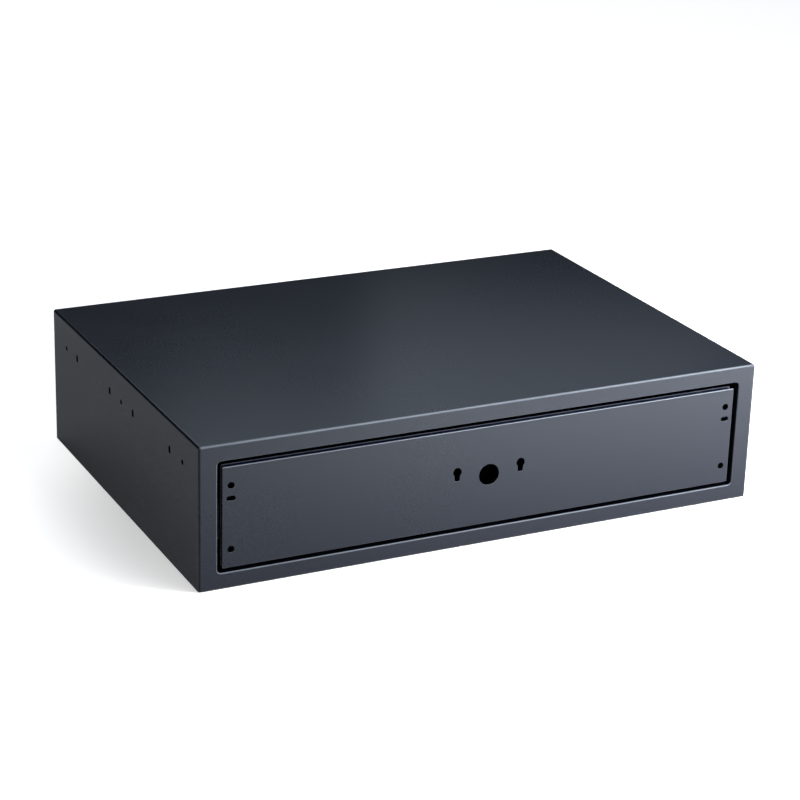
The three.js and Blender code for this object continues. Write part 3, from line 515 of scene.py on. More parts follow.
# Angle between two faces from which their edge stays sharp
SHARP = math.radians(32)


def six_volumes(points, faces):
    """Six times the signed volume inside the faces, fanned from each face's first corner."""
    fans = [(f[0], f[i], f[i + 1]) for f in faces for i in range(1, len(f) - 1)]
    a, b, c = (points[np.array(fans)[:, i]] for i in range(3))
    return float((a * np.cross(b, c)).sum())


def piece(name, shells, body, slot_name, nodes):
    """One object from closed shells, each turned to face outwards, riding on a body in place of CAD nodes."""
    points, faces, marks, base = [], [], [], 0
    for shell_points, shell_faces, *shell_marks in shells:
        outwards = six_volumes(shell_points, shell_faces) > 0
        faces += [[base + i for i in (f if outwards else f[::-1])] for f in shell_faces]
        points.append(shell_points)
        marks.append(shell_marks[0] if shell_marks else np.zeros((len(shell_points), 2)))
        base += len(shell_points)
    mesh = bpy.data.meshes.new(name)
    mesh.from_pydata(np.concatenate(points).tolist(), [], faces)
    for label, mark in zip(MARKS, np.concatenate(marks).T):
        mesh.attributes.new(label, "FLOAT", "POINT").data.foreach_set("value", mark.astype(np.float32))
    made = bpy.data.objects.new(name, mesh)
    bpy.context.scene.collection.objects.link(made)
    weld(mesh)
    mesh.shade_smooth()
    mesh.set_sharp_from_angle(angle=SHARP)
    mesh.materials.append(finish(slot_name))
    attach(made, body)
    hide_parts(*nodes)
    return made


def weld(mesh):
    """Merges points that lie on each other, and drops the faces that this flattens."""
    work = bmesh.new()
    work.from_mesh(mesh)
    bmesh.ops.remove_doubles(work, verts=work.verts, dist=1e-7)
    bmesh.ops.dissolve_degenerate(work, edges=work.edges, dist=1e-8)
    work.to_mesh(mesh)
    work.free()


# Shader building

class Shade:
    """A socket of a material's tree. Arithmetic on it adds Math nodes."""

    def __init__(self, tree, socket):
        self.tree, self.socket = tree, socket

    def math(self, operation, first, second):
        return node(self.tree, "ShaderNodeMath", {"operation": operation}, {0: first, 1: second})

    def __add__(self, other):
        return self.math("ADD", self, other)

    def __mul__(self, other):
        return self.math("MULTIPLY", self, other)

    __radd__ = __add__
    __rmul__ = __mul__


def node(tree, kind, settings, inputs, output=0):
    """Adds a node of a kind, makes its settings, then gives its sockets their values or links."""
    made = tree.nodes.new(kind)
    for key, value in settings.items():
        setattr(made, key, value)
    for key, value in inputs.items():
        if isinstance(value, Shade):
            tree.links.new(value.socket, made.inputs[key])
        else:
            made.inputs[key].default_value = value
    return Shade(tree, made.outputs[output])


def object_place(tree, stretch=(1.0, 1.0, 1.0), move=(0.0, 0.0, 0.0)):
    """Object coordinates, stretched along each axis and then moved."""
    place = node(tree, "ShaderNodeTexCoord", {}, {}, "Object")
    return node(tree, "ShaderNodeMapping", {}, {"Vector": place, "Scale": stretch, "Location": move})


def grain(tree, place, scale, detail=2.0, roughness=0.5):
    """Noise from 0 to 1 at a scale per metre."""
    inputs = {"Vector": place, "Scale": scale, "Detail": detail, "Roughness": roughness}
    return node(tree, "ShaderNodeTexNoise", {}, inputs)


def between(tree, factor, first, second):
    """Mix of two colours, each given as three numbers or as a Shade."""
    first, second = (shade if isinstance(shade, Shade) else (*shade, 1.0) for shade in (first, second))
    return node(tree, "ShaderNodeMix", {"data_type": "RGBA"}, {0: factor, 6: first, 7: second}, 2)


def finished(name, base, rough, height, depth, strength, metallic=lambda tree: 0.0, constants=()):
    """A material whose base colour, roughness, metal and bump come from the functions' results."""
    material = bpy.data.materials.new(name)
    material.use_nodes = True
    tree = material.node_tree
    tree.nodes.clear()
    bump = {"Height": height(tree), "Distance": depth, "Strength": strength}
    surface = node(tree, "ShaderNodeBsdfPrincipled", {}, {
        "Base Color": base(tree), "Roughness": rough(tree), "Metallic": metallic(tree),
        "Normal": node(tree, "ShaderNodeBump", {}, bump), **dict(constants),
    })
    tree.links.new(surface.socket, tree.nodes.new("ShaderNodeOutputMaterial").inputs["Surface"])
    return material


def scaled(shade, factor):
    """A colour made lighter or darker."""
    return tuple(min(channel * factor, 1.0) for channel in shade)


def marked(tree, label):
    """The value of one of the marks that a sheet's points carry."""
    return node(tree, "ShaderNodeAttribute", {"attribute_name": label}, {}, "Fac")


# Scales of the powder coat's patterns, per metre, and the depth of its waviness in metres
COAT_SPECKS, COAT_PATCHES, COAT_SHEEN, COAT_DUST = 2600.0, 30.0, 5.0, 900.0
COAT_WAVES, COAT_GRAIN, COAT_DEPTH = 520.0, 1900.0, 0.00008
# Scales of rolled metal's streaks, finer streaks and patches, per metre, and the depth of its grain
ROLLED_STREAKS, ROLLED_GRAIN, ROLLED_PATCHES, ROLLED_DEPTH = 1500.0, 2400.0, 40.0, 0.00002


def powder_coat(name, looks):
    """Satin powder coat: fine waviness under a finer grain, with broad faint changes in sheen.

    A painted highlight makes the edges that catch the light paler, and painted shade makes the walls of holes
    and the gaps near black and dull.
    """
    def base(tree):
        speck = grain(tree, object_place(tree), COAT_SPECKS, 1.0)
        coat = between(tree, speck, scaled(looks.paint, 0.9), scaled(looks.paint, 1.1))
        uneven = grain(tree, object_place(tree), COAT_PATCHES, 3.0) * 0.5 + 0.75
        # Pale painted highlight along the edges that catch the light
        coat_and_highlight = between(tree, marked(tree, "painted_highlight") * uneven, coat, looks.highlight_paint)
        # Near black painted shade on the walls of holes, in gaps and inside the lip, where light does not
        # reach
        return between(tree, marked(tree, "painted_shade"), coat_and_highlight, looks.black)

    def rough(tree):
        broad = grain(tree, object_place(tree), COAT_SHEEN, 3.0)
        fine = grain(tree, object_place(tree), COAT_DUST, 1.0)
        return broad * 0.06 + fine * 0.02 + marked(tree, "painted_shade") * 0.4 + (looks.paint_roughness - 0.04)

    def height(tree):
        wave = grain(tree, object_place(tree), COAT_WAVES, 1.0)
        fine = grain(tree, object_place(tree), COAT_GRAIN, 1.0)
        return wave + fine * 0.35

    def metallic(tree):
        return marked(tree, "painted_shade")

    tint = {"Specular Tint": (*looks.gloss, 1.0)}
    return finished(name, base, rough, height, COAT_DEPTH, looks.paint_peel, metallic, tint)


def rolled_metal(name, shade, roughness, grain_scale, streak, metallic=1.0, constants=()):
    """Plated or bare metal: streaks along its rolling direction over a fine spangle."""
    def base(tree):
        spangle = grain(tree, object_place(tree), grain_scale, 3.0)
        return between(tree, spangle, scaled(shade, 0.80), scaled(shade, 1.12))

    def rough(tree):
        streaks = grain(tree, object_place(tree, streak), ROLLED_STREAKS, 2.0)
        patches = grain(tree, object_place(tree), ROLLED_PATCHES, 3.0)
        return streaks * 0.16 + patches * 0.10 + (roughness - 0.13)

    def height(tree):
        return grain(tree, object_place(tree, streak), ROLLED_GRAIN, 2.0)

    return finished(name, base, rough, height, ROLLED_DEPTH, 0.25, lambda tree: metallic, constants)


# Stretch of a pattern whose streaks run along X, Y or Z
LONG_X, LONG_Y, LONG_Z = (0.03, 1.0, 1.0), (1.0, 0.03, 1.0), (1.0, 1.0, 0.03)
# Nearly no reflection, so that the blackened parts behind the lock hole read as painted shade
DULL = {"Specular IOR Level": 0.1, "Specular Tint": (0.1, 0.1, 0.1, 1.0)}
# The finish of each material slot
SLOT_FINISHES = {
    "casing_paint": "powder_coat", "drawer_paint": "powder_coat", "slide_black": "slide_black",
    "cage_steel": "cage_steel", "screw_zinc": "zinc_screw", "black_steel": "black_steel",
    "plate_zinc": "zinc_plate", "bolt_steel": "bright_steel",
}


def finish(slot_name):
    """The material of a slot, made when it is first asked for. The CAD's own materials have other names."""
    name = SLOT_FINISHES[slot_name]
    label = f"finish_{name}"
    if label in bpy.data.materials:
        return bpy.data.materials[label]
    looks = bpy.context.scene.safe_finishes
    makers = {
        "powder_coat": lambda: powder_coat(label, looks),
        "slide_black": lambda: rolled_metal(label, looks.slide, 0.36, 700.0, LONG_Y, metallic=0.6),
        "zinc_plate": lambda: rolled_metal(label, looks.zinc, 0.38, 500.0, LONG_X),
        "zinc_screw": lambda: rolled_metal(label, looks.zinc, 0.30, 1500.0, LONG_Z),
        "bright_steel": lambda: rolled_metal(label, looks.steel, 0.30, 900.0, LONG_Z),
        "cage_steel": lambda: rolled_metal(label, looks.steel, 0.26, 900.0, LONG_Y),
        "black_steel": lambda: rolled_metal(label, looks.black, 0.58, 600.0, LONG_X, 0.95, DULL),
    }
    return makers[name]()


# Operators

# Steps of the side row that hold a round hole, and those that hold an upright slot
ROUND_STEPS, SLOT_STEPS = (0, 5, 10), (1, 4, 6, 9)
# Rim of the casing sheet at its front, too fine for a seam to show against the frame
SEAM_RIM = 0.00004
# Gap between pieces that meet, as in the CAD
FIT_GAP = 0.00015
# Corner and rim radii of the welded bars and the tray's back, and of the strike bar and the back sheet
BAR_CORNER, BAR_RIM = 0.0008, 0.0003
PAN_CORNER, PAN_RIM = 0.001, 0.0004
# Rim radii of thick steel plate and the bores in it, of the cam's hub and socket, and of the follower pin
PLATE_RIM, BORE_RIM, HUB_RIM, SOCKET_RIM, PIN_RIM = 0.0004, 0.0002, 0.0005, 0.0003, 0.0003
# Rim radius of rolled sheet and of the cages' thinner sheet, each the same as the flat margin beside it
ROLLED_RIM, CAGE_RIM = 0.0002, 0.0001
# Kind of ball cage, and the distance in from the slide's back and the height of its rows of balls
CAGES = (("outer", 0.0068, 0.0148), ("inner", 0.0086, 0.0108))

# Shares of painted highlight on a rim's bottom, right, top and left side, for round_sides: most on the edges
# that face up and catch the light
FRAME_EDGE_HIGHLIGHT = (0.1, 0.1, (0.6, 0.62), 0.1)
OPENING_EDGE_HIGHLIGHT = ((0.55, 0.6), 0.1, 0.15, 0.3)
PLATE_EDGE_HIGHLIGHT = (0.15, 0.1, (0.95, 0.8), 0.05)
INNER_EDGE_HIGHLIGHT = (0.0, 0.0, 0.35, 0.0)
# Shares of painted shade on the frame's outer edge, on its left side, and inside its lip
FRAME_EDGE_SHADE = (0.0, 0.0, 0.0, 0.7)
LIP_SHADE = 0.6


def middle_of(name):
    """Centre of a CAD node's box."""
    return sum(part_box(name), Vector()) / 2


def block(name, corner, rim, steps=3, bores=()):
    """A flat upright piece that fills its CAD node's box, with round corners, eased rims and any bores."""
    low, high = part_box(name)
    loops = [rounded_box(low.xz, high.xz, corner, steps), *bores]
    return upright_plate(low.y, loops, [rim] + [BORE_RIM] * len(bores), high.y - low.y)


class SAFE_OT_casing(bpy.types.Operator):
    """Top and sides in one folded sheet, with the rows of holes in the sides"""
    bl_idname = "safe.casing"
    bl_label = "Casing sheet"

    def execute(self, context):
        sizes = context.scene.safe_casing
        low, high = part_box("casing_wrap")
        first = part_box("frame_top")[0].y + sizes.row_start
        fold = Fold([(high.x, low.z), (high.x, high.z), (low.x, high.z), (low.x, low.z)], [sizes.bend] * 2)
        holes = []
        for x in (low.x, high.x):
            row = fold.at(x, high.z - sizes.row_drop)
            places = [(row, first + step * sizes.row_pitch) for step in range(ROUND_STEPS[-1] + 1)]
            holes += [ring(places[step], sizes.row_hole, 24) for step in ROUND_STEPS]
            holes += [slot(places[step], sizes.row_slot, sizes.row_hole) for step in SLOT_STEPS]
        rims = (SEAM_RIM, sizes.rim, sizes.rim, sizes.rim)
        # Painted shade round the whole rim and wall of each side hole
        shell = folded(fold, low.y, high.y, sizes.sheet, along_y, holes, sizes.hole_rim, rims, bare=1)
        piece("casing_sheet", [shell], "casing", "casing_paint", ["casing_wrap"])
        return {"FINISHED"}


class SAFE_OT_frame(bpy.types.Operator):
    """Face round the opening, rolled over at its outer edge and into the lip of the opening"""
    bl_idname = "safe.frame"
    bl_label = "Front frame"

    def execute(self, context):
        sizes = context.scene.safe_casing
        names = ["frame_top", "frame_bottom", "frame_left", "frame_right"]
        boxes = [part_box(name) for name in names]
        low = Vector(min(b[0][i] for b in boxes) for i in range(3))
        high = Vector(max(b[1][i] for b in boxes) for i in range(3))
        opening_low = Vector((low.x + sizes.face_side, low.z + sizes.face_bottom))
        opening_high = Vector((high.x - sizes.face_side, high.z - sizes.face_top))
        edge, inner_edge, rim, front = sizes.edge, sizes.opening_edge, sizes.lip_rim, low.y
        face = front + sizes.sheet
        roll_steps, corner_steps, flat = 8, 10, 0.0004

        def outline(box_low, box_high, corner, y):
            """A rounded box at the depth y, as points in X, Y and Z."""
            points = rounded_box(box_low, box_high, corner, corner_steps)
            return np.column_stack([points[:, 0], np.full(len(points), y), points[:, 1]])

        def outer(inset, y):
            """The frame's outer outline, drawn in by inset."""
            inset_low, inset_high = (low.x + inset, low.z + inset), (high.x - inset, high.z - inset)
            return outline(inset_low, inset_high, sizes.bend - inset, y)

        def inner(grow, y):
            """The opening's outline, let out by grow."""
            out = Vector((grow, grow))
            return outline(opening_low - out, opening_high + out, sizes.opening_corner + grow, y)

        angles = np.linspace(0, QUARTER, roll_steps + 1)
        lip_end = [(depth, high.y - inset) for inset, depth in quarter_round(rim, np.linspace(0, QUARTER, 4))]
        rings = [outer(0.0, face)]
        rings += [outer(inset, front + depth) for inset, depth in quarter_round(edge, angles[::-1])]
        rings += [outer(edge + flat, front), inner(inner_edge + flat, front)]
        rings += [inner(inset, front + depth) for inset, depth in quarter_round(inner_edge, angles)]
        rings += [inner(0.0, front + inner_edge + MARGIN), inner(0.0, high.y - rim - MARGIN)]
        rings += [inner(grow, y) for grow, y in lip_end]
        rings += [inner(sizes.sheet - grow, y) for grow, y in reversed(lip_end)]
        rings += [inner(sizes.sheet, face)]

        def along_roll(shares):
            """Marks sin 2a over a rolled edge, weighed by each side's share, for a painted highlight or
            painted shade.
            """
            return np.outer(np.sin(2 * angles), round_sides(*shares, corner_steps))

        # Painted highlight on the outer roll's top and the opening's lower edge, painted shade on the outer
        # roll's left side and inside the lip
        thin = np.zeros((len(rings), len(rings[0])))
        bare = np.zeros_like(thin)
        outer_roll = slice(1, roll_steps + 2)
        opening_roll = slice(roll_steps + 4, 2 * roll_steps + 5)
        thin[outer_roll], thin[opening_roll] = along_roll(FRAME_EDGE_HIGHLIGHT), along_roll(OPENING_EDGE_HIGHLIGHT)
        bare[outer_roll], bare[opening_roll.stop:] = along_roll(FRAME_EDGE_SHADE), LIP_SHADE
        piece("front_face_and_lip", [lofted(rings, thin, bare)], "casing", "casing_paint", names)
        return {"FINISHED"}


class SAFE_OT_pans(bpy.types.Operator):
    """Base sheet with turned-up sides, back sheet with its flanges, and the bar the bolts bear on"""
    bl_idname = "safe.pans"
    bl_label = "Base, back and strike bar"

    def execute(self, context):
        sizes = context.scene.safe_casing
        low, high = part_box("base_pan")
        corners = [(low.x, high.z), (low.x, low.z), (high.x, low.z), (high.x, high.z)]
        base = folded(Fold(corners, [sizes.pan_bend] * 2), low.y, high.y, sizes.pan_sheet, along_y)
        piece("base_sheet", [base], "casing", "casing_paint", ["base_pan"])

        foot = high.z + FIT_GAP
        low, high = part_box("rear_panel")
        rear = high.y - sizes.pan_sheet
        outline = rounded_box(low.xz, high.xz, PAN_CORNER, 3)
        panel = upright_plate(rear, [outline], [PAN_RIM], sizes.pan_sheet)
        corners = [(high.x, foot), (high.x, high.z), (low.x, high.z), (low.x, foot)]
        flange = folded(Fold(corners, [sizes.flange_bend] * 2), low.y, rear, sizes.pan_sheet, along_y)
        piece("back_sheet", [panel, flange], "casing", "casing_paint", ["rear_panel"])

        bar = block("strike_bar", PAN_CORNER, PAN_RIM, 4)
        piece("strike_bar_eased", [bar], "casing", "casing_paint", ["strike_bar"])
        return {"FINISHED"}


def front_holes(sizes, low, high, room=0.0):
    """Outlines of the nine holes of the drawer front, each wider by room all round."""
    wider = 2 * room
    holes = [ring((0.0, sizes.lock_height), sizes.lock_hole + wider, 48)]
    for side, _ in SIDES:
        head = (side * sizes.keyhole_from_middle, sizes.lock_height + sizes.keyhole_rise)
        drop = sizes.keyhole_rise + sizes.keyhole_foot + room
        corner = sizes.keyhole_corner + room
        holes.append(keyhole(head, sizes.keyhole_head + wider, sizes.keyhole_stem + wider, drop, corner))
        x = side * (high.x - sizes.corner_inset)
        top, bottom = high.z - sizes.corner_level, low.z + sizes.corner_level
        holes.append(ring((x, top), sizes.corner_hole + wider, 28))
        holes.append(slot((x, top - sizes.slot_drop), sizes.slot_length + wider, sizes.slot_height + wider))
        holes.append(ring((x, bottom), sizes.corner_hole + wider, 28))
    return holes


class SAFE_OT_front(bpy.types.Operator):
    """The drawer front's two sheets with their holes, and the bars between them"""
    bl_idname = "safe.front"
    bl_label = "Drawer front"

    def execute(self, context):
        sizes, hole_rim = context.scene.safe_front, context.scene.safe_casing.hole_rim
        plate_low, plate_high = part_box("drawer_front_plate")
        holes = front_holes(sizes, plate_low, plate_high)
        outline = rounded_box(plate_low.xz, plate_high.xz, sizes.corner, 5)
        # The front's top edge carries a strong painted highlight, its other edges a faint one, and the feet
        # of its holes one too
        plate = upright_plate(
            plate_low.y, [outline, *holes], [sizes.edge] + [hole_rim] * len(holes),
            plate_high.y - plate_low.y, steps=5, thinning=round_sides(*PLATE_EDGE_HIGHLIGHT, 5),
        )
        piece("drawer_face", [plate], "drawer", "drawer_paint", ["drawer_front_plate"])

        low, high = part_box("drawer_inner_front")
        screw_hole = context.scene.safe_slides.screw_hole
        bores = front_holes(sizes, plate_low, plate_high, sizes.inner_room)
        bores += [ring(middle_of(f"cover_screw_{i}").xz, screw_hole, 16) for i in range(1, 5)]
        outline = rounded_box(low.xz, high.xz, sizes.corner, 4)
        # The inner sheet's top edge carries a painted highlight, and its face round the bores, seen through
        # the front's holes, painted shade
        inner = upright_plate(
            low.y, [outline, *bores], [sizes.inner_edge] + [hole_rim] * len(bores),
            high.y - low.y, thinning=round_sides(*INNER_EDGE_HIGHLIGHT, 4), bare=2,
        )
        piece("drawer_inner_face", [inner], "drawer", "drawer_paint", ["drawer_inner_front"])

        bars = [f"front_top_bar_{i}" for i in range(1, 4)] + ["front_bottom_bar"]
        for name in bars + [f"front_end_bar_{word}" for _, word in SIDES]:
            piece(f"{name}_eased", [block(name, BAR_CORNER, BAR_RIM)], "drawer", "drawer_paint", [name])
        return {"FINISHED"}


class SAFE_OT_tray(bpy.types.Operator):
    """The drawer's floor and sides in one folded sheet with turned-in top edges, and its back"""
    bl_idname = "safe.tray"
    bl_label = "Drawer tray"

    def execute(self, context):
        sizes, slides = context.scene.safe_tray, context.scene.safe_slides
        low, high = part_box("drawer_tray")
        fold = Fold([
            (low.x + sizes.hem, high.z), (low.x, high.z), (low.x, low.z),
            (high.x, low.z), (high.x, high.z), (high.x - sizes.hem, high.z),
        ], [sizes.bend] * 4)
        holes = []
        for side, word in SIDES:
            height = middle_of(f"drawer_screw_{word}_1").z
            holes += screw_holes(fold, f"drawer_screw_{word}", (side * high.x, height), slides.screw_hole)
        shell = folded(fold, low.y, high.y, sizes.sheet, along_y, holes)
        piece("tray_sheet", [shell], "drawer", "drawer_paint", ["drawer_tray"])

        back = block("drawer_back", BAR_CORNER, BAR_RIM)
        piece("tray_back", [back], "drawer", "drawer_paint", ["drawer_back"])
        return {"FINISHED"}


def screw_holes(fold, screws, at_section, diameter):
    """Holes for a pair of screws in a folded sheet, at one place on its section."""
    return [ring((fold.at(*at_section), middle_of(f"{screws}_{i}").y), diameter, 20) for i in (1, 2)]


def balls(centres, radius, around=14, rows=8):
    """Closed spheres: radius (sin b cos a, sin b sin a, cos b) about each centre."""
    profile = [(radius * math.sin(b), -radius * math.cos(b)) for b in np.linspace(0, math.pi, rows + 1)]
    points, faces = turned(profile, around, lambda x, y, z: (x, y, z))
    return [(points + centre, faces) for centre in centres]


class SAFE_OT_slides(bpy.types.Operator):
    """Hat channels, the three rolled members of each slide, and the ball cages between them"""
    bl_idname = "safe.slides"
    bl_label = "Ball slides"

    def execute(self, context):
        sizes, pan_sheet = context.scene.safe_slides, context.scene.safe_casing.pan_sheet
        for side, word in SIDES:
            def world(a, b, t, side=side):
                """Distance in from the slide's back and height over its middle line, laid along Y."""
                return side * (sizes.back - a), t, sizes.height + b

            self.spacer(sizes, pan_sheet, word, world)
            self.fixed_member(sizes, word, world)
            self.middle_member(sizes, word, world)
            self.drawer_member(sizes, word, world)
            for kind, at, height in CAGES:
                self.cage(sizes, kind, at, height, word, world)
        return {"FINISHED"}

    @staticmethod
    def span(sizes, low, high):
        """Distances in from the slide's back of a box's two sides, the near one first."""
        out = sorted((abs(low.x), abs(high.x)))
        return sizes.back - out[1], sizes.back - out[0]

    @staticmethod
    def rolled(name, corners, radii, thickness, body, world, screws="", at_section=(0, 0)):
        """A member of the slide: sheet rolled round the corners, with holes for its pair of screws."""
        low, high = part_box(name)
        fold = Fold(corners, radii, margin=ROLLED_RIM)
        diameter = bpy.context.scene.safe_slides.screw_hole
        holes = screw_holes(fold, screws, at_section, diameter) if screws else []
        shell = folded(fold, low.y, high.y, thickness, world, holes, rims=ROLLED_RIM, margin=ROLLED_RIM)
        piece(f"{name}_rolled", [shell], body, "slide_black", [name])

    @staticmethod
    def spacer(sizes, thickness, word, world):
        """Hat channel that carries the slide clear of the frame: two flanges, two walls and a web."""
        name = f"slide_spacer_{word}"
        low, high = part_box(name)
        leg, top, web = (high.x - low.x) - thickness, (high.z - low.z) / 2, sizes.half + sizes.spacer_rise
        corners = [(-leg, -top), (-leg, -web), (0, -web), (0, web), (-leg, web), (-leg, top)]
        inner, outer = sizes.spacer_bend - thickness, sizes.spacer_bend
        fold = Fold(corners, [inner, outer, outer, inner])
        holes = screw_holes(fold, f"cabinet_screw_{word}", (0, 0), sizes.screw_hole)
        shell = folded(fold, low.y, high.y, thickness, world, holes)
        piece(f"{name}_folded", [shell], "casing", "casing_paint", [name])

    def fixed_member(self, sizes, word, world):
        """Channel open towards the drawer, with a lip turned in along each edge."""
        name = f"slide_cabinet_member_{word}"
        low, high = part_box(name)
        reach, half, lip = high.x - low.x, sizes.half, sizes.half - sizes.lip
        corners = [(reach, lip), (reach, half), (0, half), (0, -half), (reach, -half), (reach, -lip)]
        radii = [sizes.lip_bend, sizes.bend, sizes.bend, sizes.lip_bend]
        self.rolled(name, corners, radii, sizes.sheet, "casing", world, f"cabinet_screw_{word}")

    def middle_member(self, sizes, word, world):
        """Plain channel between the balls of both cages."""
        name = f"slide_middle_member_{word}"
        low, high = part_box(name)
        (near, far), half = self.span(sizes, low, high), (high.z - low.z) / 2
        corners = [(far, half), (near, half), (near, -half), (far, -half)]
        radii = [sizes.middle_bend] * 2
        self.rolled(name, corners, radii, sizes.middle_sheet, f"middle_member_{word}", world)

    def drawer_member(self, sizes, word, world):
        """Channel open towards the casing, screwed to the tray's side."""
        name = f"slide_drawer_member_{word}"
        low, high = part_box(name)
        near, far, half = sizes.reach - (high.x - low.x), sizes.reach, (high.z - low.z) / 2
        corners = [(near, -half), (far, -half), (far, half), (near, half)]
        screws = f"drawer_screw_{word}"
        self.rolled(name, corners, [sizes.bend] * 2, sizes.sheet, "drawer", world, screws, (far, 0))

    def cage(self, sizes, kind, at, height, word, world):
        """Thin channel with a row of balls along each edge."""
        name = f"slide_{kind}_cage_{word}"
        low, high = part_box(name)
        near, far = self.span(sizes, low, high)
        edge = height + sizes.cage_sheet / 2
        corners = [(far, edge), (near, edge), (near, -edge), (far, -edge)]
        fold = Fold(corners, [sizes.cage_bend] * 2, margin=CAGE_RIM)
        strip = folded(fold, low.y, high.y, sizes.cage_sheet, world, rims=CAGE_RIM, margin=CAGE_RIM)
        middle = (low.y + high.y) / 2
        places = (np.arange(sizes.balls) - (sizes.balls - 1) / 2) * sizes.ball_pitch + middle
        centres = [np.array(world(at, up, y)) for y in places for up in (height, -height)]
        shells = [strip] + balls(centres, sizes.ball)
        piece(f"{name}_strip", shells, f"{kind}_cage_{word}", "cage_steel", [name])


def crossed(arm_width, arm_length, depth, slope=0.0002):
    """A cross-shaped recess in a screw's head.

    Across an arm's wall the depth goes from all to nothing over the slope's width, evenly.
    """
    def reshape(radius, height, angle):
        """Sinks the head's points by depth times the share of the arms at their place."""
        u, v = radius * np.cos(angle), radius * np.sin(angle)

        def inside(limit, value):
            """(limit - |value|) / slope + a half, kept from 0 to 1."""
            return np.clip((limit - np.abs(value)) / slope + 0.5, 0, 1)

        arm = np.maximum(
            inside(arm_width / 2, u) * inside(arm_length / 2, v),
            inside(arm_width / 2, v) * inside(arm_length / 2, u),
        )
        in_head = (height <= 0) & (radius < arm_length)
        return radius, np.where(in_head, height + depth * arm, height)

    return reshape


class SAFE_OT_screws(bpy.types.Operator):
    """Pan head screws with a cross recess"""
    bl_idname = "safe.screws"
    bl_label = "Screws"

    def execute(self, context):
        sizes = context.scene.safe_screws
        head, rise, shank = sizes.head / 2, sizes.rise, sizes.shank / 2
        recess = crossed(sizes.arm_width, sizes.arm_length, sizes.arm_depth)
        # The head's domed top, then its shoulder in shares of the head's radius and height
        dome = [(r, -rise + sizes.dome * (r / head) ** 2) for r in np.linspace(0, head * 0.8, 12)]
        upper = dome + [(head * 0.93, -rise * 0.62), (head, -rise * 0.3), (head, 0.0), (shank, 0.0)]
        kinds = [(kind, word) for kind in ("cabinet", "drawer") for _, word in SIDES]
        names = [f"{kind}_screw_{word}_{i}" for kind, word in kinds for i in (1, 2)]
        for name in names + [f"cover_screw_{i}" for i in range(1, 5)]:
            low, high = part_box(name)
            middle, size = (low + high) / 2, high - low
            if name.startswith("cover"):
                reach = max(size.x, size.y) - rise

                def world(u, v, w, at=middle, seat=high.y - rise):
                    """Shank towards the front."""
                    return at.x + u, seat - w, at.z + v
            else:
                reach = size.x - rise
                outwards = 1 if "right" in name else -1
                pointing = outwards if name.startswith("cabinet") else -outwards
                seat = (low.x + rise) if pointing > 0 else (high.x - rise)

                def world(u, v, w, at=middle, seat=seat, pointing=pointing):
                    """Shank to the right or to the left."""
                    return seat + pointing * w, at.y + u, at.z + v
            shank_profile = [(shank, reach - sizes.tip), (shank * 0.6, reach), (0.0, reach)]
            shell = turned(upper + shank_profile, 48, world, recess)
            body = "casing" if name.startswith("cabinet") else "drawer"
            piece(f"{name}_headed", [shell], body, "screw_zinc", [name])
        return {"FINISHED"}


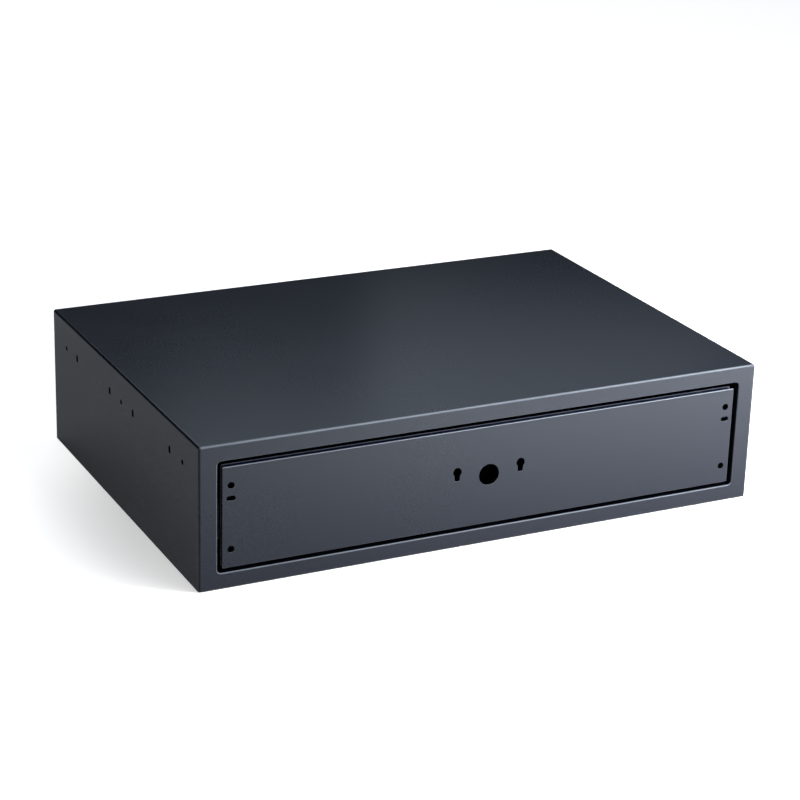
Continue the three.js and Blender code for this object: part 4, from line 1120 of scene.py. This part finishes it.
class SAFE_OT_boltwork(bpy.types.Operator):
    """Lock plate, cam, circlip, bolt bar, follower pin, bolts and their guides"""
    bl_idname = "safe.boltwork"
    bl_label = "Boltwork"

    def execute(self, context):
        sizes = context.scene.safe_bolts
        middle = (0.0, context.scene.safe_front.lock_height)
        self.lock_plate(sizes, middle)
        self.cam(sizes, middle)
        self.circlip(sizes, middle)
        self.bar_and_pin(sizes)
        for _, word in SIDES:
            self.guide(sizes, word)
            self.bolt(sizes, word)
        return {"FINISHED"}

    @staticmethod
    def lock_plate(sizes, middle):
        """Hat-shaped plate, bored for the cam's hub."""
        low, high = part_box("lock_plate")
        foot, rear, half = low.y + sizes.plate, high.y, high.x - sizes.plate_foot
        corners = [(high.x, foot), (half, foot), (half, rear), (-half, rear), (-half, foot), (low.x, foot)]
        inner, outer = sizes.plate_bend - sizes.plate, sizes.plate_bend
        fold = Fold(corners, [inner, outer, outer, inner], margin=ROLLED_RIM)
        bore = ring((fold.at(0.0, rear), middle[1]), sizes.hub + sizes.play, 40)
        rims = {"hole_rim": SOCKET_RIM, "rims": PLATE_RIM}
        shell = folded(fold, low.z, high.z, sizes.plate, along_z, [bore], **rims)
        piece("lock_plate_folded", [shell], "drawer", "black_steel", ["lock_plate"])

    def cam(self, sizes, middle):
        """Disc with the spiral slot, and a hub with a square socket in front of it."""
        low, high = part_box("lock_cam")
        disc_front, half = high.y - sizes.disc, sizes.socket / 2
        disc_loops = [ring(middle, high.x - low.x, 96)[::-1], self.spiral(sizes, middle)]
        disc = upright_plate(disc_front, disc_loops, [PLATE_RIM, BORE_RIM], high.y - disc_front)
        socket_low, socket_high = (-half, middle[1] - half), (half, middle[1] + half)
        socket = rounded_box(socket_low, socket_high, sizes.socket_corner, 3)[::-1]
        hub_loops = [ring(middle, sizes.hub, 48)[::-1], socket]
        hub = upright_plate(low.y, hub_loops, [HUB_RIM, SOCKET_RIM], disc_front - low.y)
        piece("cam_and_hub", [disc, hub], "cam", "black_steel", ["lock_cam"])

    @staticmethod
    def spiral(sizes, middle):
        """Slot along r = start + throw (a - quarter) / quarter, widened along that line's own normal."""
        growth, half = sizes.throw / QUARTER, sizes.cam_slot / 2
        a = np.linspace(QUARTER, 2 * QUARTER, 25)
        radius = sizes.cam_start + growth * (a - QUARTER)
        centre = np.column_stack([radius * np.cos(a), radius * np.sin(a)])
        facing = a - np.arctan(growth / radius)
        outwards = np.column_stack([np.cos(facing), np.sin(facing)])
        end = arc(centre[-1], half, facing[-1], facing[-1] + math.pi, 10)[1:-1]
        start = arc(centre[0], half, facing[0] + math.pi, facing[0] + 2 * math.pi, 10)[1:-1]
        outline = np.concatenate([centre + half * outwards, end, (centre - half * outwards)[::-1], start])
        return (outline + middle)[::-1]

    @staticmethod
    def circlip(sizes, middle):
        """Flat ring, open at the bottom."""
        low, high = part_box("cam_circlip")
        outer, gap = (high.x - low.x) / 2, sizes.clip_gap / 2
        start, end = -QUARTER + gap, 3 * QUARTER - gap
        inner = outer - sizes.clip_width
        outline = np.concatenate([arc(middle, outer, start, end, 40), arc(middle, inner, end, start, 40)])
        clip = upright_plate(low.y, [outline], [ROLLED_RIM], high.y - low.y, margin=ROLLED_RIM)
        piece("circlip_ring", [clip], "cam", "black_steel", ["cam_circlip"])

    @staticmethod
    def bar_and_pin(sizes):
        """The bar that carries both bolts, and the headed pin that follows the cam's slot."""
        low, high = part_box("bolt_bar")
        height = (low.z + high.z) / 2
        bar = block("bolt_bar", sizes.bar_corner, PLATE_RIM, 6, [ring((0.0, height), sizes.pin_hole, 24)])
        piece("bolt_bar_eased", [bar], "bolts", "plate_zinc", ["bolt_bar"])

        low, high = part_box("follower_pin")
        shank, head, neck = sizes.pin / 2, sizes.pin_head / 2, high.y - sizes.pin_head_depth
        profile = [(0.0, low.y), (shank, low.y), (shank, neck), (head, neck), (head, high.y), (0.0, high.y)]
        shell = turned(eased(profile, PIN_RIM), 32, lambda u, v, w: (u, w, height + v))
        piece("follower_pin_turned", [shell], "bolts", "bolt_steel", ["follower_pin"])

    @staticmethod
    def guide(sizes, word):
        """Bracket with a bored arm under and over the bolt bar."""
        name = f"bolt_guide_{word}"
        low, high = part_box(name)
        corners = [(high.y, high.z), (low.y, high.z), (low.y, low.z), (high.y, low.z)]
        fold = Fold(corners, [sizes.guide_bend] * 2)
        x, y = (low.x + high.x) / 2, middle_of(f"bolt_{word}").y
        bores = [ring((fold.at(y, z), x), sizes.bolt + sizes.play, 32) for z in (high.z, low.z)]
        rims = {"hole_rim": BORE_RIM, "rims": PLATE_RIM}
        shell = folded(fold, low.x, high.x, sizes.guide, along_x, bores, **rims)
        piece(f"{name}_folded", [shell], "drawer", "plate_zinc", [name])

    @staticmethod
    def bolt(sizes, word):
        """Round bolt, flat at the bar: there its surface is drawn in to the plane of the bar's front face."""
        name = f"bolt_{word}"
        low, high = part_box(name)
        bar_low, bar_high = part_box("bolt_bar")
        x, y = (low.x + high.x) / 2, (low.y + high.y) / 2
        radius, chamfer, flat = sizes.bolt / 2, sizes.chamfer, bar_low.y - y
        notch_low, notch_high, step = bar_low.z - FIT_GAP, bar_high.z + FIT_GAP, 1e-5
        notch = [notch_low - step, notch_low, notch_high, notch_high + step]
        heights = [low.z + chamfer, *notch, high.z - chamfer]
        profile = [(0.0, low.z), (radius - chamfer, low.z)] + [(radius, z) for z in heights]
        profile += [(radius - chamfer, high.z), (0.0, high.z)]

        def reshape(grid_radius, height, angle):
            """In the notch the radius is at most flat / sin a."""
            notched = (height >= notch_low) & (height <= notch_high)
            limit = flat / np.maximum(np.sin(angle), 1e-6)
            cut = notched & (np.sin(angle) > 0) & (grid_radius > limit)
            return np.where(cut, limit, grid_radius), height

        shell = turned(profile, 48, lambda u, v, w: (x + u, y + v, w), reshape)
        piece(f"{name}_turned", [shell], "bolts", "bolt_steel", [name])


class SAFE_OT_cover(bpy.types.Operator):
    """Sheet cover over the boltwork: a folded channel closed by two angled ends"""
    bl_idname = "safe.cover"
    bl_label = "Lock cover"

    def execute(self, context):
        sizes, screw_hole = context.scene.safe_bolts, context.scene.safe_slides.screw_hole
        low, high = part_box("lock_cover")
        t, half = sizes.cover, high.x - sizes.cover_flange
        corners = [(low.y, low.z), (high.y, low.z), (high.y, high.z), (low.y, high.z)]
        fold = Fold(corners, [sizes.cover_bend] * 2)
        bolt_y, bolt_x = middle_of("bolt_left").y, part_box("bolt_right")[0].x + sizes.bolt / 2
        bore = sizes.bolt + 2 * sizes.play
        bores = [ring((fold.at(bolt_y, high.z), side * bolt_x), bore, 32) for side, _ in SIDES]
        shells = [folded(fold, -half + t, half - t, t, along_x, bores, BORE_RIM)]
        end = Fold([(high.x, low.y + t), (half, low.y + t), (half, high.y)], [t / 2], margin=ROLLED_RIM)
        seat = end.at(high.x - sizes.cover_flange / 2, low.y + t)
        heights = sorted({round(middle_of(f"cover_screw_{i}").z, 5) for i in range(1, 5)})
        holes = [ring((seat, z), screw_hole, 20) for z in heights]
        for side, _ in SIDES:
            shells.append(folded(end, low.z, high.z, t, lambda a, b, z, side=side: (side * a, b, z), holes))
        piece("lock_cover_folded", shells, "drawer", "drawer_paint", ["lock_cover"])
        return {"FINISHED"}


FLOOR_HALF = 15.0
# Stretch and move of the painted shadow on the floor, a pool where the glow is weaker, and the distances
# where its edge starts and ends
PAINTED_SHADOW_STRETCH, PAINTED_SHADOW_MOVE, PAINTED_SHADOW_EDGE = (2.9, 3.46, 1.0), (0.0, 0.277, 0.0), (0.8, 1.25)
PLAIN, COOL = (1.0, 1.0, 1.0), (0.80, 0.90, 1.0)
# Name, place, aim, width and height, power and colour of each softbox. Those named key don't show in the
# safe's reflections, which they would burn out in a view from behind
SOFTBOXES = (
    ("key", (0.9, -0.9, 0.45), (0.15, -0.2, 0.05), (0.4, 0.4), 32.7, PLAIN),
    ("key_near", (0.75, -0.7, 0.4), (0.25, -0.25, 0.05), (0.35, 0.35), 5.2, PLAIN),
    ("key_floor", (0.55, -1.3, 1.2), (0.5, -0.95, 0.0), (0.9, 0.9), 5.8, PLAIN),
    ("key_middle", (0.15, -0.6, 0.35), (0.15, -0.5, 0.0), (0.3, 0.3), 2.5, PLAIN),
    ("key_left", (-0.7, -0.2, 0.5), (-0.5, -0.1, 0.0), (0.3, 0.3), 0.42, PLAIN),
    ("left_low", (-1.6, -1.0, 0.7), (-0.3, -0.2, 0.0), (0.8, 0.6), 7.9, PLAIN),
    ("top", (1.0, -0.1, 2.2), (0.1, 0.0, 0.0), (1.2, 1.2), 7.4, (0.85, 0.93, 1.0)),
    ("back_low", (0.7, 0.72, 0.62), (0.3, -0.1, 0.1), (0.7, 0.35), 0.36, COOL),
    ("back_middle", (0.5, 0.85, 0.75), (0.15, -0.1, 0.1), (0.8, 0.3), 0.35, COOL),
    ("back_high", (0.3, 2.6, 2.6), (0.0, 0.4, 0.0), (2.0, 1.4), 23.5, COOL),
)
ROOM_LIGHT = 0.0


class SAFE_OT_stage(bpy.types.Operator):
    """Pale floor, soft studio light and the camera"""
    bl_idname = "safe.stage"
    bl_label = "Stage"

    def execute(self, context):
        sizes = context.scene.safe_stage
        self.floor(sizes)
        self.lights()
        self.camera(context.scene, sizes)
        context.scene.view_settings.view_transform = "Standard"
        return {"FINISHED"}

    @staticmethod
    def floor(sizes):
        """Flat floor whose glow only the camera sees, with a painted shadow: the glow is weaker in a pool
        under the safe.
        """
        mesh = bpy.data.meshes.new("floor")
        half = FLOOR_HALF
        corners = [(-half, -half, 0), (half, -half, 0), (half, half, 0), (-half, half, 0)]
        mesh.from_pydata(corners, [], [(0, 1, 2, 3)])
        floor = bpy.data.objects.new("floor", mesh)
        bpy.context.scene.collection.objects.link(floor)
        material = bpy.data.materials.new("floor")
        material.use_nodes = True
        tree = material.node_tree
        surface = tree.nodes["Principled BSDF"]
        surface.inputs["Base Color"].default_value = (*sizes.floor, 1.0)
        surface.inputs["Roughness"].default_value = 1.0
        surface.inputs["Specular IOR Level"].default_value = 0.0
        surface.inputs["Emission Strength"].default_value = 1.0
        seen = node(tree, "ShaderNodeLightPath", {}, {}, "Is Camera Ray")
        # Painted shadow: the glow is weaker in a pool round the safe
        place = object_place(tree, PAINTED_SHADOW_STRETCH, PAINTED_SHADOW_MOVE)
        away = node(tree, "ShaderNodeVectorMath", {"operation": "LENGTH"}, {0: place}, "Value")
        level = node(tree, "ShaderNodeMapRange", {"interpolation_type": "SMOOTHSTEP"}, {
            "Value": away, "From Min": PAINTED_SHADOW_EDGE[0], "From Max": PAINTED_SHADOW_EDGE[1],
            "To Min": sizes.glow, "To Max": sizes.glow_far,
        })
        glow = between(tree, seen * level, (0, 0, 0), (1, 1, 1))
        tree.links.new(glow.socket, surface.inputs["Emission Color"])
        mesh.materials.append(material)

    @staticmethod
    def lights():
        """Rectangular softboxes, each turned from its place to its aim, in an otherwise dark room."""
        for name, place, aim, size, power, shade in SOFTBOXES:
            data = bpy.data.lights.new(name, "AREA")
            data.shape = "RECTANGLE"
            data.size, data.size_y = size
            data.energy = power
            data.color = shade
            light = bpy.data.objects.new(name, data)
            facing = (Vector(aim) - Vector(place)).to_track_quat("-Z", "Y")
            light.matrix_world = Matrix.Translation(place) @ facing.to_matrix().to_4x4()
            light.visible_camera = False
            light.visible_glossy = not name.startswith("key")
            bpy.context.scene.collection.objects.link(light)
        world = bpy.data.worlds.new("studio")
        world.use_nodes = True
        background = world.node_tree.nodes["Background"]
        background.inputs["Color"].default_value = (1.0, 1.0, 1.0, 1.0)
        background.inputs["Strength"].default_value = ROOM_LIGHT
        bpy.context.scene.world = world

    @staticmethod
    def camera(scene, sizes):
        """Camera at the photograph's viewing angle: the view axis from the angles, turned by the roll."""
        az, el, roll = sizes.azimuth, sizes.elevation, sizes.roll
        back = Vector((math.sin(az) * math.cos(el), -math.cos(az) * math.cos(el), math.sin(el)))
        level = Vector((math.cos(az), math.sin(az), 0.0))
        upright = back.cross(level)
        right = level * math.cos(roll) + upright * math.sin(roll)
        up = upright * math.cos(roll) - level * math.sin(roll)
        place = back * sizes.distance + right * sizes.aim_right + up * sizes.aim_up
        data = bpy.data.cameras.new("camera")
        data.lens, data.sensor_width = sizes.lens, 36.0
        data.clip_end = 100.0
        camera = bpy.data.objects.new("camera", data)
        camera.matrix_world = Matrix.Translation(place) @ Matrix((right, up, back)).transposed().to_4x4()
        scene.collection.objects.link(camera)
        scene.camera = camera


STEPS = (
    SAFE_OT_casing, SAFE_OT_frame, SAFE_OT_pans, SAFE_OT_front, SAFE_OT_tray,
    SAFE_OT_slides, SAFE_OT_screws, SAFE_OT_boltwork, SAFE_OT_cover, SAFE_OT_stage,
)


class SAFE_PT_panel(bpy.types.Panel):
    """Lists the sizes and the steps"""
    bl_idname = "SAFE_PT_panel"
    bl_label = "Drawer safe"
    bl_space_type = "VIEW_3D"
    bl_region_type = "UI"
    bl_category = "Drawer safe"

    def draw(self, context):
        for name, group in GROUPS.items():
            box = self.layout.box()
            box.label(text=name.replace("safe_", "").capitalize())
            for key in group.__annotations__:
                box.prop(getattr(context.scene, name), key)
        for step in STEPS:
            self.layout.operator(step.bl_idname)


GROUPS = {
    "safe_casing": CasingSizes, "safe_front": FrontSizes, "safe_slides": SlideSizes, "safe_tray": TraySizes,
    "safe_screws": ScrewSizes, "safe_bolts": BoltSizes, "safe_finishes": Finishes, "safe_stage": StageSizes,
}
CLASSES = (*GROUPS.values(), *STEPS, SAFE_PT_panel)


def register():
    for cls in CLASSES:
        bpy.utils.register_class(cls)
    for name, group in GROUPS.items():
        setattr(bpy.types.Scene, name, PointerProperty(type=group))


def unregister():
    for name in GROUPS:
        delattr(bpy.types.Scene, name)
    for cls in reversed(CLASSES):
        bpy.utils.unregister_class(cls)


def main():
    """Makes every piece and the stage."""
    register()
    for step in STEPS:
        getattr(bpy.ops.safe, step.bl_idname.split(".")[1])()


if __name__ == "__main__":
    main()
